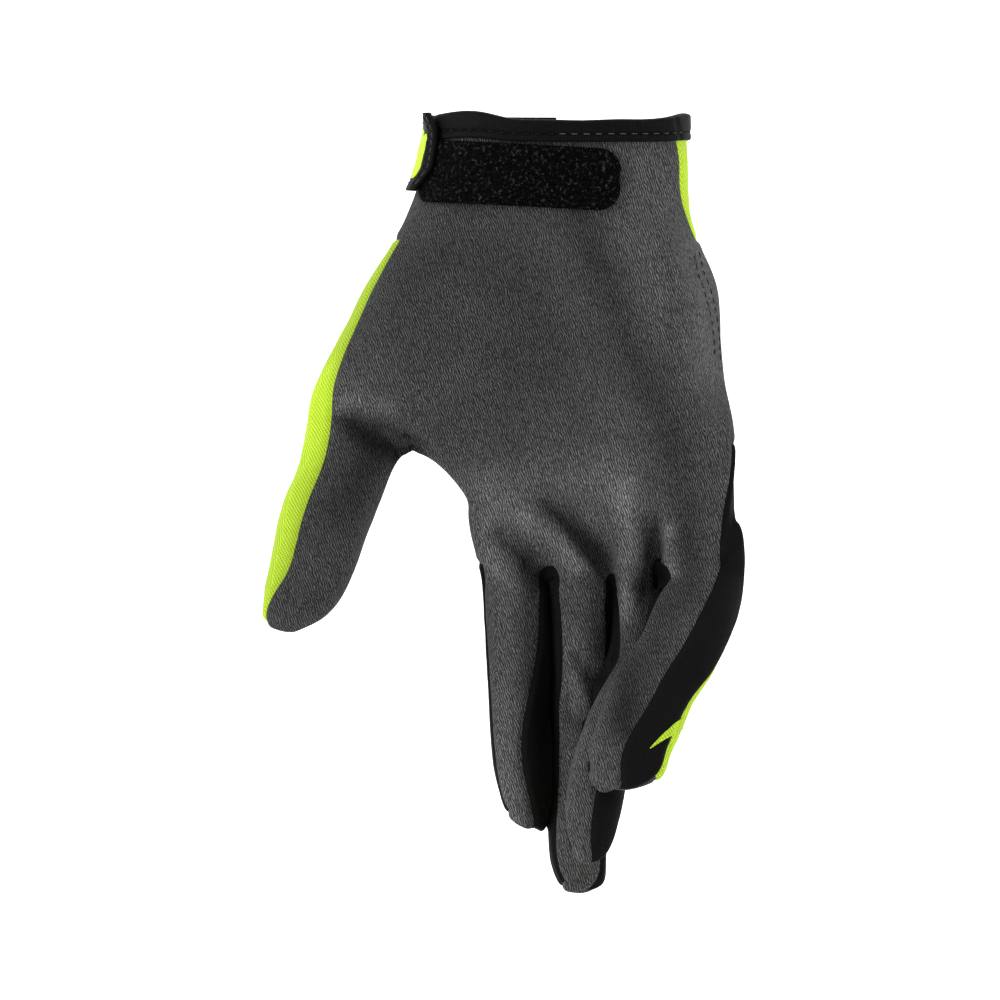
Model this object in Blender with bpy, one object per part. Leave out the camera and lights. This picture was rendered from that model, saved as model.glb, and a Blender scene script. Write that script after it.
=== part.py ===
"""A right-hand motocross glove in its worn form, palm toward -Y, fingers down, thumb toward -X.

The glove's outer surface is one cage of rings: a trunk from the cuff to the finger roots, with the
thumb and the four fingers branching off it. Each ring comes from one row of a section table, whose
lengths are shares of the named sizes. The cage is smoothed, the creases are pressed in, and the
surface is parted along its seams into panels of cloth with a wall each.
"""

import math

import bmesh
import bpy
import numpy as np
from mathutils import Vector
from mathutils.bvhtree import BVHTree

# Sizes of the hand part, in metres
TRUNK_LENGTH = 0.1211  # from the cuff's edge to the fork of the index and middle fingers
WRIST_WIDTH = 0.068
WRIST_DEPTH = 0.044
PALM_WIDTH = 0.082
PALM_DEPTH = 0.036
FORK_DIP = 0.0030  # how deep the surface sinks between two finger roots

# Walls, seams and clearances, in metres
SUEDE_WALL = 0.0012
KNIT_WALL = 0.0012
STRETCH_WALL = 0.0011
SEAM_GAP = 0.0003
CLEARANCE = 0.0003

# Cuff binding, in metres: a folded band that grips the edge of the opening
BINDING_LIP = 0.0046
BINDING_INNER_LIP = 0.0040
EDGE_RISE = 0.0034  # the highest that the wavy edge climbs
BINDING_THICKNESS = 0.0010
BINDING_CROWN = 0.45  # how much of that the fold's corners lose
LIP_SINK = 0.5  # how much of the edge's wave the lips' lower edges leave out

# Loop patch, in metres. Distances round the cuff start at the palm side's middle.
PATCH_START = -0.0165  # its right end
PATCH_LENGTH = 0.0560
PATCH_HEIGHT = 0.0160
PATCH_THICKNESS = 0.0014
PATCH_OFF = 0.0005  # how far it lies off the cloth
PATCH_CORNER = 0.0060
PATCH_DROP = 0.0139  # from the cuff's edge to the middle of the patch
PATCH_TILT = 3.2  # degrees, its right end down
PATCH_STEPS = 16
PATCH_ROWS = 4

# Closure tab, in metres: a strap round the thumb side of the wrist
TAB_WIDTH = 0.0203
TAB_THICKNESS = 0.0012
TAB_TOP = 0.0032  # height of its upper edge
TAB_START = 0.0352  # its palm-side end, round the cuff
TAB_LENGTH = 0.0583
TAB_END_SLANT = 0.0035  # how much further round the lower corner of its end lies
TAB_STEPS = 16
TAB_ROWS = 4
TAB_FLAT = 0.10  # the share of its length that lies flat over the patch
TAB_FALL = 0.22  # the share over which it then comes down onto the binding
EDGING_WIDTH = 0.0040
EDGING_THICKNESS = 0.0006
WRIST_LEVEL = -0.010  # height at which distances round the cuff are measured
AIM_DEGREES = 5  # over which the cuff's outward direction is evened out

SMOOTH_LEVEL = 1
FIT_ROUNDS = 8
FIT_STEP = 0.8  # the share of what is missing that one round makes up
ROUNDNESS = 2.3  # exponent of the sections: 2 is an ellipse, more is squarer
BEND = 1.5  # exponent of the sections' bend toward the palm
WIDEST_SPREAD = 1.5  # how many half gaps a seam's corner is drawn in at most

# Trunk sections at the cuff. drop is a share of TRUNK_LENGTH; left and right of WRIST_WIDTH; half,
# middle, thumb and heel of WRIST_DEPTH, where thumb and heel bring the left and right edges forward.
# The seams are degrees round the section: 0 is the right edge, 90 the palm, 180 the left edge.
CUFF_SECTIONS = [
    # drop, left, right, half, middle, thumb, heel, front_left, front_right, back_right, back_left
    (0.004, -0.478, 0.510, 0.50, 0.00, 0.00, 0.00, 162, 25, -36, 218),
    (0.078, -0.522, 0.514, 0.49, 0.00, 0.02, 0.01, 166, 23, -36, 218),
    (0.157, -0.565, 0.518, 0.48, -0.01, 0.05, 0.03, 172, 20, -36, 218),
]
# Trunk sections of the palm, with the same columns as shares of PALM_WIDTH and PALM_DEPTH.
PALM_SECTIONS = [
    (0.257, -0.532, 0.456, 0.555, -0.03, 0.14, 0.06, 169, 0, -38, 218),
    (0.358, -0.629, 0.529, 0.510, 0.00, 0.25, 0.08, 162, -9, -38, 218),
    (0.459, -0.706, 0.543, 0.486, 0.03, 0.36, 0.14, 160, -11, -36, 218),
    (0.570, -0.790, 0.555, 0.458, 0.055, 0.44, 0.17, 155, -10, -30, 218),
    (0.700, -0.827, 0.577, 0.417, 0.11, 0.50, 0.22, 150, -1, -18, 218),
]
# Sections below the thumb's fork, down to the finger roots. spread goes from even columns to columns
# that follow the finger widths.
KNUCKLE_SECTIONS = [
    (0.817, -0.317, 0.577, 0.400, 0.14, 0.03, 0.28, 166, 17, -9, 218),
    (0.880, -0.290, 0.576, 0.378, 0.15, 0.03, 0.32, 168, 24, -8, 218),
]
KNUCKLE_SPREADS = (0.35, 0.75)
ROOT_HALF = 0.305  # half depth of the finger roots, a share of PALM_DEPTH
ROOT_MIDDLE = 0.167
ROOT_HEEL = 0.39
ROOT_SEAMS = (168, 34, -4, 218)
ROOT_LEFT = -0.261  # where the index finger's root begins, a share of PALM_WIDTH
ROOT_DROPS = (0.985, 1.000, 1.008, 0.973, 0.965)  # outer side, three forks, outer side
ROOT_EDGE_DROPS = {"left": 0.965, "right": 0.945}  # shares of TRUNK_LENGTH, as those above
LITTLE_SIDE = 0.3  # how far the little finger's root runs on round its side, a share of its width
WEB_DROP = 0.004  # how much lower the middle of a web lies than its front, a share of TRUNK_LENGTH
THUMB_WEB_DROP = 0.016
THUMB_FORK_ACROSS = -0.482  # a share of PALM_WIDTH
THUMB_ROOT_ACROSS = -0.6725
THUMB_FORK_DROP = 0.712
THUMB_CREASE_RISE = 0.060  # how much higher the thumb's crease starts at the outer edge
BACK_FORK_RISE = 0.060  # how much higher the forks lie on the back of the hand

# Broad forms of the trunk: across is a share of PALM_WIDTH, drop of TRUNK_LENGTH, and so are the
# two radii; rise is a share of PALM_DEPTH. side is -1 on the palm and 1 on the back.
SWELLS = [
    # side, across, drop, radius_across, radius_drop, rise
    (-1, -0.52, 0.50, 0.24, 0.22, 0.25),  # ball of the thumb
    (-1, 0.35, 0.39, 0.18, 0.22, 0.13),  # heel of the hand
    (-1, 0.00, 0.62, 0.20, 0.25, -0.10),  # hollow of the palm
    (-1, 0.14, 0.90, 0.35, 0.08, 0.05),  # pads below the fingers
    (-1, -0.48, 0.735, 0.09, 0.06, -0.12),  # web of the thumb
    (1, -0.48, 0.735, 0.09, 0.06, -0.14),
    (1, -0.17, 0.87, 0.06, 0.06, 0.09),  # knuckles
    (1, 0.07, 0.86, 0.06, 0.06, 0.10),
    (1, 0.25, 0.88, 0.05, 0.06, 0.08),
    (1, 0.43, 0.90, 0.05, 0.06, 0.06),
]

# Fingers. root is the share of its width that its root takes of the palm's front. Columns of the
# sections: along is a share of length, sideways of width, forward of depth, wide of width and deep
# of depth. The four seams are degrees round the section: 0 is the little-finger side, 90 the palm
# side, 180 the thumb side and 270 the back.
FINGERS = {
    "index": {
        "length": 0.0696,
        "width": 0.0178,
        "depth": 0.0175,
        "root": 1.04,
        "sections": [
            # along, sideways, forward, wide, deep, front_thumb, front_little, back_little, back_thumb
            (0.08, 0.00, 0.00, 0.96, 1.02, 176, 38, -32, 214),
            (0.27, 0.025, 0.06, 0.94, 1.00, 173, 48, -32, 212),
            (0.46, 0.035, 0.20, 0.91, 0.98, 164, 66, -30, 210),
            (0.64, 0.06, 0.38, 0.86, 0.95, 162, 86, -28, 208),
            (0.79, 0.11, 0.58, 0.80, 0.86, 168, 90, -26, 208),
            (0.91, 0.17, 0.74, 0.62, 0.70, 174, 84, -26, 208),
        ],
        "tip": (1.0, 0.26, 0.84),
    },
    "middle": {
        "length": 0.0854,
        "width": 0.0166,
        "depth": 0.0168,
        "root": 1.01,
        "sections": [
            (0.06, 0.00, 0.00, 0.98, 1.04, 138, 34, -30, 212),
            (0.23, 0.00, 0.02, 0.98, 1.02, 127, 32, -30, 212),
            (0.41, -0.02, 0.10, 0.96, 1.00, 132, 35, -30, 212),
            (0.58, -0.03, 0.26, 0.96, 0.97, 134, 36, -30, 212),
            (0.75, -0.05, 0.50, 0.95, 0.94, 136, 38, -30, 212),
            (0.88, -0.05, 0.72, 0.91, 0.86, 142, 39, -30, 212),
            (0.965, 0.02, 0.88, 0.70, 0.62, 150, 40, -30, 212),
        ],
        "tip": (1.0, 0.06, 0.95),
    },
    "ring": {
        "length": 0.0775,
        "width": 0.0148,
        "depth": 0.0155,
        "root": 0.91,
        "sections": [
            (0.07, 0.02, 0.00, 0.84, 1.06, 156, 42, -30, 210),
            (0.23, 0.08, 0.10, 0.94, 1.00, 150, 48, -28, 210),
            (0.35, 0.03, 0.42, 0.97, 1.00, 156, 56, -24, 212),
            (0.45, -0.22, 0.82, 1.02, 1.00, 166, 66, -18, 216),
            (0.56, -0.50, 1.19, 1.04, 0.98, 172, 76, -12, 218),
            (0.69, -0.72, 1.52, 1.05, 0.95, 174, 84, -8, 220),
            (0.83, -0.84, 1.80, 1.02, 0.88, 174, 88, -6, 220),
            (0.94, -0.88, 1.98, 0.72, 0.66, 174, 88, -6, 220),
        ],
        "tip": (1.0, -0.86, 2.06),
    },
    "little": {
        "length": 0.0612,
        "width": 0.0205,
        "depth": 0.0152,
        "root": 0.75,
        "sections": [
            (0.11, 0.19, 0.22, 1.00, 1.08, 158, 70, -4, 222),
            (0.24, 0.05, 0.62, 1.09, 1.02, 160, 76, -8, 222),
            (0.42, -0.20, 1.14, 1.09, 1.00, 166, 82, 0, 224),
            (0.54, -0.44, 1.36, 1.12, 0.98, 172, 82, 16, 226),
            (0.68, -0.62, 1.72, 1.12, 0.96, 176, 86, 27, 228),
            (0.81, -0.78, 2.02, 1.08, 0.92, 178, 92, 29, 230),
            (0.92, -0.89, 2.22, 0.96, 0.74, 178, 95, 30, 230),
        ],
        "tip": (1.01, -0.96, 2.32),
    },
}
THUMB = {
    "length": 0.0511,
    "width": 0.0230,
    "depth": 0.0195,
    "sections": [
        (0.184, -0.15, 0.06, 1.04, 1.10, 112, 8, -30, 236),
        (0.381, -0.33, 0.30, 1.05, 1.05, 108, 8, -30, 236),
        (0.592, -0.46, 0.56, 0.99, 0.98, 111, 8, -30, 238),
        (0.770, -0.62, 0.77, 0.87, 0.86, 110, 4, -30, 240),
        (0.885, -0.83, 0.90, 0.60, 0.66, 116, 0, -30, 242),
    ],
    "tip": (0.955, -1.02, 0.98),
}

# Creases pressed into the smoothed surface. Each runs between two points: across is a share of
# PALM_WIDTH, drop of TRUNK_LENGTH, half_width and depth of PALM_DEPTH; side as above.
CREASE_FACING = 0.2  # only where the surface faces that side by more than this
CREASES = [
    # side, across, drop, across_end, drop_end, half_width, depth
    (-1, -0.68, 0.695, -0.50, 0.745, 0.085, 0.050),  # at the thumb's root
    (-1, -0.13, 0.900, -0.045, 1.000, 0.090, 0.050),  # toward the first fork
    (-1, 0.06, 0.880, 0.145, 0.990, 0.090, 0.055),  # toward the second fork
    (-1, 0.27, 0.890, 0.315, 0.960, 0.070, 0.050),  # toward the third fork
    (-1, -0.34, 0.300, -0.10, 0.340, 0.110, 0.020),  # across the heel
    (1, -0.30, 0.300, 0.35, 0.280, 0.120, 0.025),  # at the wrist, on the back
]

# The wave of the cuff's edge
EDGE_RISES = [
    # across as a share of WRIST_WIDTH, rise as a share of EDGE_RISE
    (-0.50, 0.55),
    (-0.36, 0.90),
    (-0.26, 0.95),
    (-0.14, 0.50),
    (-0.04, 0.10),
    (0.10, 0.00),
    (0.36, 0.18),
    (0.46, 0.60),
    (0.51, 0.80),
]

COLOURS = {
    "suede": (0.060, 0.060, 0.062),
    "knit": (0.520, 0.830, 0.010),
    "stretch": (0.010, 0.010, 0.011),
    "neoprene": (0.008, 0.008, 0.009),
    "pile": (0.006, 0.006, 0.006),
    "webbing": (0.014, 0.014, 0.015),
}
FRONT_COLUMNS = 10  # two for the thumb and two for each finger
THUMB_COLUMNS = 2


def blend(a, b, share):
    return a + (b - a) * share


def power(value, exponent):
    return math.copysign(abs(value) ** exponent, value)


def material(name, roughness):
    made = bpy.data.materials.new(name)
    made.use_nodes = True
    shader = made.node_tree.nodes["Principled BSDF"]
    shader.inputs["Base Color"].default_value = (*COLOURS[name], 1.0)
    shader.inputs["Roughness"].default_value = roughness
    return made


class Section:
    """One level section of the trunk: a rounded outline bent forward at its two edges."""

    def __init__(self, row, width, depth):
        drop, left, right, half, middle, thumb, heel, *seams = row
        self.z = -drop * TRUNK_LENGTH
        self.centre = (left + right) / 2 * width
        self.reach = (right - left) / 2 * width
        self.half = half * depth
        self.middle = middle * depth
        self.thumb = thumb * depth
        self.heel = heel * depth
        self.seams = seams

    def bend(self, x):
        across = (x - self.centre) / self.reach
        forward = self.thumb if across < 0 else self.heel
        return self.middle - forward * abs(across) ** BEND

    def swell(self, x, side):
        total = 0.0
        for of_side, across, drop, radius_x, radius_z, rise in SWELLS:
            if of_side != side:
                continue
            far_x = (x / PALM_WIDTH - across) / radius_x
            far_z = (-self.z / TRUNK_LENGTH - drop) / radius_z
            total += rise * PALM_DEPTH * math.exp(-far_x * far_x - far_z * far_z)
        return total

    def on_face(self, x, side):
        """The point at x on the palm (side -1) or on the back (side 1)."""
        across = min(1.0, abs(x - self.centre) / self.reach)
        rise = self.half * (1 - across**ROUNDNESS) ** (1 / ROUNDNESS)
        return (x, self.bend(x) + side * (rise + self.swell(x, side)), self.z)

    def at_angle(self, degrees):
        """The point at an angle round the section: 0 is the right edge, 90 the palm, 180 the left."""
        turn = math.radians(degrees)
        x = self.centre + self.reach * power(math.cos(turn), 2 / ROUNDNESS)
        rise = self.half * power(math.sin(turn), 2 / ROUNDNESS)
        return (x, self.bend(x) - rise, self.z)

    def columns(self, shares):
        """The ring's points: front columns left to right, right edge, back columns, left edge."""
        front_left, front_right, back_right, back_left = self.seams
        rings = []
        for left, right, side in ((front_left, front_right, -1), (back_left, back_right, 1)):
            first = self.at_angle(left)
            last = self.at_angle(right)
            row = [self.on_face(blend(first[0], last[0], share), side) for share in shares]
            row[0] = first
            row[-1] = last
            rings.append(row)
        right_edge = self.at_angle((front_right + back_right) / 2)
        left_edge = self.at_angle((front_left + back_left) / 2)
        return {"front": rings[0], "back": rings[1], "right": right_edge, "left": left_edge}


class Cage:
    """The points that the smooth surface passes through, and the quads between them."""

    def __init__(self):
        self.points = []
        self.faces = []
        self.panels = []

    def add(self, point):
        self.points.append(point)
        return len(self.points) - 1

    def add_section(self, section):
        return {
            "front": [self.add(p) for p in section["front"]],
            "right": self.add(section["right"]),
            "back": [self.add(p) for p in section["back"]],
            "left": self.add(section["left"]),
        }

    def join(self, upper, lower, panels):
        count = len(upper)
        for i in range(count):
            j = (i + 1) % count
            self.faces.append((lower[i], lower[j], upper[j], upper[i]))
            self.panels.append(panels[i])

    def close(self, ring, tip, panels):
        for i, panel in zip((0, 2, 4, 6), panels):
            self.faces.append((ring[(i + 2) % 8], ring[i + 1], ring[i], tip))
            self.panels.append(panel)


def ring_of(section):
    """A section's points in order round the ring."""
    return [*section["front"], section["right"], *reversed(section["back"]), section["left"]]


def part_of(section, first, last, right, left):
    """The ring of the columns first to last, with its own two edge points."""
    return [
        *section["front"][first : last + 1],
        right,
        *reversed(section["back"][first : last + 1]),
        left,
    ]


def tube_rings(shape, root):
    """The rings of eight points down a finger or the thumb, and its tip."""
    length, width, depth = shape["length"], shape["width"], shape["depth"]

    def place(along, sideways, forward):
        return Vector(root) + Vector((sideways * width, -forward * depth, -along * length))

    rows = shape["sections"]
    centres = [place(*row[:3]) for row in rows]
    tip = place(*shape["tip"])
    path = [place(0, 0, 0), *centres, tip]
    rings = []
    for i, row in enumerate(rows):
        heading = (path[i + 2] - path[i]).normalized()
        side = (Vector((1, 0, 0)) - heading * heading.x).normalized()
        front = heading.cross(side).normalized()
        if front.y > 0:
            front = -front
        wide, deep, *seams = row[3:]
        front_thumb, front_little, back_little, back_thumb = seams
        angles = [
            front_thumb,
            (front_thumb + front_little) / 2,
            front_little,
            (front_little + back_little) / 2,
            back_little,
            (back_little + back_thumb - 360) / 2,
            back_thumb,
            (back_thumb + front_thumb) / 2,
        ]
        ring = []
        for degrees in angles:
            turn = math.radians(degrees)
            across = power(math.cos(turn), 2 / ROUNDNESS) * wide * width / 2
            out = power(math.sin(turn), 2 / ROUNDNESS) * deep * depth / 2
            ring.append(centres[i] + side * across + front * out)
        rings.append(ring)
    return rings, tip


def finger_columns():
    """Places of the front columns over the finger roots, as shares from the first to the last."""
    places = [0.0]
    for finger in FINGERS.values():
        root = finger["root"] * finger["width"]
        places += [places[-1] + root / 2, places[-1] + root]
    return places


def build_cage():
    cage = Cage()
    even = [i / FRONT_COLUMNS for i in range(FRONT_COLUMNS + 1)]
    sections = [Section(row, WRIST_WIDTH, WRIST_DEPTH) for row in CUFF_SECTIONS]
    sections += [Section(row, PALM_WIDTH, PALM_DEPTH) for row in PALM_SECTIONS]
    levels = [section.columns(even) for section in sections]
    raise_edge(levels[0])
    fork_row(levels[-1])
    rows = [cage.add_section(level) for level in levels]
    front, edge = ["palm_panel"] * FRONT_COLUMNS, ["back_panel"] * 2
    around = front + edge + ["back_panel"] * FRONT_COLUMNS + edge
    for upper, lower in zip(rows, rows[1:]):
        cage.join(ring_of(upper), ring_of(lower), around)
    fork = rows[-1]
    fork_x, fork_y, fork_z = (
        (np.array(cage.points[fork["front"][THUMB_COLUMNS]]) + cage.points[fork["back"][THUMB_COLUMNS]]) / 2
    )
    web = cage.add((fork_x, fork_y, fork_z - THUMB_WEB_DROP * TRUNK_LENGTH))
    build_thumb(cage, fork, web)
    build_fingers(cage, fork, web)
    return cage


def raise_edge(level):
    """Gives the cuff's edge its wave: raised near the thumb and at the heel's corner."""
    places = [place * WRIST_WIDTH for place, _ in EDGE_RISES]
    rises = [rise * EDGE_RISE for _, rise in EDGE_RISES]
    for side in ("front", "back"):
        lifted = []
        for x, y, z in level[side]:
            lifted.append((x, y, z + float(np.interp(x, places, rises))))
        level[side] = lifted
    for side in ("left", "right"):
        x, y, z = level[side]
        level[side] = (x, y, z + float(np.interp(x, places, rises)))


def fork_row(level):
    """Sets the row where the thumb leaves the palm: its crease climbs to the outer edge."""

    def height(rise):
        return -(THUMB_FORK_DROP - rise) * TRUNK_LENGTH

    for side in ("front", "back"):
        row = level[side]
        for i, (x, y, _) in enumerate(row):
            rise = THUMB_CREASE_RISE * max(0.0, 1 - i / THUMB_COLUMNS)
            row[i] = (x, y, height(rise))
        row[THUMB_COLUMNS] = (THUMB_FORK_ACROSS * PALM_WIDTH, *row[THUMB_COLUMNS][1:])
    for side, rise in (("left", THUMB_CREASE_RISE), ("right", 0.0)):
        level[side] = (*level[side][:2], height(rise))


def build_thumb(cage, fork, web):
    ring = part_of(fork, 0, THUMB_COLUMNS, web, fork["left"])
    points = np.array([cage.points[i] for i in ring])
    root = (THUMB_ROOT_ACROSS * PALM_WIDTH, points[:, 1].mean(), -THUMB_FORK_DROP * TRUNK_LENGTH)
    rings, tip = tube_rings(THUMB, root)
    panels = ["thumb_front"] * 3 + ["back_panel"] * 5
    for points in rings:
        lower = [cage.add(p) for p in points]
        cage.join(ring, lower, panels)
        ring = lower
    cage.close(ring, cage.add(tip), ["thumb_front", "thumb_front", "back_panel", "back_panel"])


def build_fingers(cage, fork, web):
    places = finger_columns()
    spread_shares = [place / places[-1] for place in places]
    even = [i / (len(places) - 1) for i in range(len(places))]
    upper = {
        "front": fork["front"][THUMB_COLUMNS:],
        "back": fork["back"][THUMB_COLUMNS:],
        "left": web,
        "right": fork["right"],
    }
    panels = (
        ["palm_panel"] * 8
        + ["little_side_gusset"] * 2
        + ["back_panel"] * 8
        + ["back_panel", "palm_panel"]
    )
    for row, spread in zip(KNUCKLE_SECTIONS, KNUCKLE_SPREADS):
        section = Section(row, PALM_WIDTH, PALM_DEPTH)
        shares = [blend(a, b, spread) for a, b in zip(even, spread_shares)]
        lower = cage.add_section(section.columns(shares))
        cage.join(ring_of(upper), ring_of(lower), panels)
        upper = lower
    root_row(cage, upper, panels, places)


def root_row(cage, upper, panels, places):
    """The row of the finger roots, then each finger below it."""
    left = ROOT_LEFT * PALM_WIDTH
    right = left + places[-1] + LITTLE_SIDE * FINGERS["little"]["width"]
    row = (1.0, left / PALM_WIDTH, right / PALM_WIDTH, ROOT_HALF, ROOT_MIDDLE, 0.0, ROOT_HEEL)
    section = Section((*row, *ROOT_SEAMS), PALM_WIDTH, PALM_DEPTH)
    drops = np.interp(range(9), range(0, 9, 2), ROOT_DROPS)
    front_left, front_right, back_right, back_left = ROOT_SEAMS
    first = section.at_angle(front_left)[0]
    last = section.at_angle(front_right)[0]
    scale = (last - first) / places[-1]
    level = {"front": [], "back": []}
    for side, key, rise in ((-1, "front", 0.0), (1, "back", BACK_FORK_RISE)):
        for i, place in enumerate(places):
            x, y, z = section.on_face(first + place * scale, side)
            if i in (2, 4, 6):
                y -= side * FORK_DIP
            level[key].append((x, y, -(drops[i] - rise) * TRUNK_LENGTH))
    for key, at_left, at_right in (("front", front_left, front_right), ("back", back_left, back_right)):
        for i, angle in ((0, at_left), (8, at_right)):
            x, y, _ = section.at_angle(angle)
            level[key][i] = (x, y, level[key][i][2])
    left_angle = (front_left + back_left) / 2
    right_angle = (front_right + back_right) / 2
    for key, angle in (("left", left_angle), ("right", right_angle)):
        x, y, _ = section.at_angle(angle)
        level[key] = (x, y, -ROOT_EDGE_DROPS[key] * TRUNK_LENGTH)
    lower = cage.add_section(level)
    cage.join(ring_of(upper), ring_of(lower), panels)
    forks = []
    for i in (2, 4, 6):
        front, back = (np.array(cage.points[lower[key][i]]) for key in ("front", "back"))
        middle = blend(front, back, 0.5)
        forks.append(cage.add((middle[0], middle[1], front[2] - WEB_DROP * TRUNK_LENGTH)))
    edges = [lower["left"], *forks, lower["right"]]
    sides = [
        "index_side_gusset",
        "fourchette_index_middle",
        "fourchette_middle_ring",
        "fourchette_ring_little",
        "little_side_gusset",
    ]
    for number, shape in enumerate(FINGERS.values()):
        start = 2 * number
        ring = part_of(lower, start, start + 2, edges[number + 1], edges[number])
        front_middle = cage.points[lower["front"][start + 1]]
        back_middle = cage.points[lower["back"][start + 1]]
        x = front_middle[0]
        y = (front_middle[1] + back_middle[1]) / 2
        z = -max(drops[start : start + 3]) * TRUNK_LENGTH
        rings, tip = tube_rings(shape, (x, y, z))
        names = (
            ["palm_panel"] * 2 + [sides[number + 1]] * 2 + ["back_panel"] * 2 + [sides[number]] * 2
        )
        for points in rings:
            below = [cage.add(p) for p in points]
            cage.join(ring, below, names)
            ring = below
        cage.close(ring, cage.add(tip), names[::2])


def smooth(points, faces, level):
    """The cage's smooth surface: its points, quads and normals. Cage points come first."""
    mesh = bpy.data.meshes.new("cage")
    mesh.from_pydata([tuple(p) for p in points], [], faces)
    thing = bpy.data.objects.new("cage", mesh)
    bpy.context.collection.objects.link(thing)
    modifier = thing.modifiers.new("smooth", "SUBSURF")
    modifier.levels = modifier.render_levels = level
    depsgraph = bpy.context.evaluated_depsgraph_get()
    depsgraph.update()
    done = thing.evaluated_get(depsgraph)
    made = done.to_mesh()
    places = np.empty((len(made.vertices), 3), np.float32)
    made.vertices.foreach_get("co", places.ravel())
    quads = [tuple(polygon.vertices) for polygon in made.polygons]
    done.to_mesh_clear()
    bpy.data.objects.remove(thing)
    bpy.data.meshes.remove(mesh)
    return places.astype(float), quads


def fitted(cage):
    """Moves the cage's points until its smooth surface passes through the places asked for."""
    wanted = np.array([tuple(p) for p in cage.points])
    points = wanted.copy()
    for _ in range(FIT_ROUNDS):
        got, _ = smooth(points, cage.faces, 1)
        points += (wanted - got[: len(wanted)]) * FIT_STEP
    return points


def normals_of(places, quads):
    total = np.zeros_like(places)
    for quad in quads:
        a, b, c, d = places[list(quad)]
        total[list(quad)] += np.cross(c - a, d - b)
    return total / np.linalg.norm(total, axis=1)[:, None]


def press_creases(places, normals):
    for side, across, drop, across_end, drop_end, half_width, depth in CREASES:
        start = np.array((across * PALM_WIDTH, -drop * TRUNK_LENGTH))
        run = np.array((across_end * PALM_WIDTH, -drop_end * TRUNK_LENGTH)) - start
        flat = places[:, [0, 2]]
        share = np.clip((flat - start) @ run / (run @ run), 0, 1)
        away = np.linalg.norm(flat - start - share[:, None] * run, axis=1)
        fall = np.exp(-((away / (half_width * PALM_DEPTH)) ** 2)) * (normals[:, 1] * side > CREASE_FACING)
        places = places - normals * (fall * depth * PALM_DEPTH)[:, None]
    return places


def panel_mesh(places, normals, quads, wall):
    """One panel as a closed wall: its seam edges are drawn in by half the gap."""
    used = sorted({i for quad in quads for i in quad})
    edges = {}
    for quad in quads:
        for a, b in zip(quad, quad[1:] + quad[:1]):
            edges[a, b] = quad
    seams = [pair for pair in edges if pair[::-1] not in edges]
    inward = {}
    for a, b in seams:
        quad = edges[a, b]
        along = places[b] - places[a]
        along /= np.linalg.norm(along)
        middle = places[list(quad)].mean(axis=0) - places[a]
        into = middle - along * (middle @ along)
        into /= np.linalg.norm(into)
        for i in (a, b):
            inward.setdefault(i, []).append(into)
    outer = places.copy()
    for i, found in inward.items():
        total = np.sum(found, axis=0)
        total -= normals[i] * (total @ normals[i])
        size = np.linalg.norm(total)
        if size > 1e-9:
            spread = min(WIDEST_SPREAD, len(found) / size)
            outer[i] += total / size * SEAM_GAP / 2 * spread
    inner = outer - normals * wall
    number = {i: k for k, i in enumerate(used)}
    count = len(used)
    points = [outer[i] for i in used] + [inner[i] for i in used]
    faces = [tuple(number[i] for i in quad) for quad in quads]
    faces += [tuple(number[i] + count for i in reversed(quad)) for quad in quads]
    for a, b in seams:
        # Both panels of a seam part this twisted strip along the same diagonal.
        outer_a, outer_b = number[a], number[b]
        inner_a, inner_b = number[a] + count, number[b] + count
        if a < b:
            faces += [(outer_b, outer_a, inner_b), (outer_a, inner_a, inner_b)]
        else:
            faces += [(outer_b, outer_a, inner_a), (outer_b, inner_a, inner_b)]
    return points, faces


def add_object(name, points, faces, finish):
    mesh = bpy.data.meshes.new(name)
    mesh.from_pydata([tuple(map(float, p)) for p in points], [], faces)
    bm = bmesh.new()
    bm.from_mesh(mesh)
    bmesh.ops.triangulate(bm, faces=bm.faces)
    bmesh.ops.recalc_face_normals(bm, faces=bm.faces)
    if bm.calc_volume(signed=True) < 0:
        bmesh.ops.reverse_faces(bm, faces=bm.faces)
    bm.to_mesh(mesh)
    bm.free()
    mesh.shade_smooth()
    mesh.set_sharp_from_angle(angle=math.radians(50))
    mesh.materials.append(finish)
    thing = bpy.data.objects.new(name, mesh)
    bpy.context.collection.objects.link(thing)
    return thing


def top_loop(quads):
    """The points of the cuff's edge, in order round it."""
    edges = {pair for quad in quads for pair in zip(quad, quad[1:] + quad[:1])}
    follow = {a: b for a, b in edges if (b, a) not in edges}
    loop = [min(follow)]
    while follow[loop[-1]] != loop[0]:
        loop.append(follow[loop[-1]])
    return loop


def level_hit(surface, place, out, rise):
    """The cloth's face straight inward from outside place, at a height above or below it."""
    start = Vector(place) + Vector(out) * WRIST_WIDTH + Vector((0, 0, rise))
    return surface.ray_cast(start, -Vector(out))[0]


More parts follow.
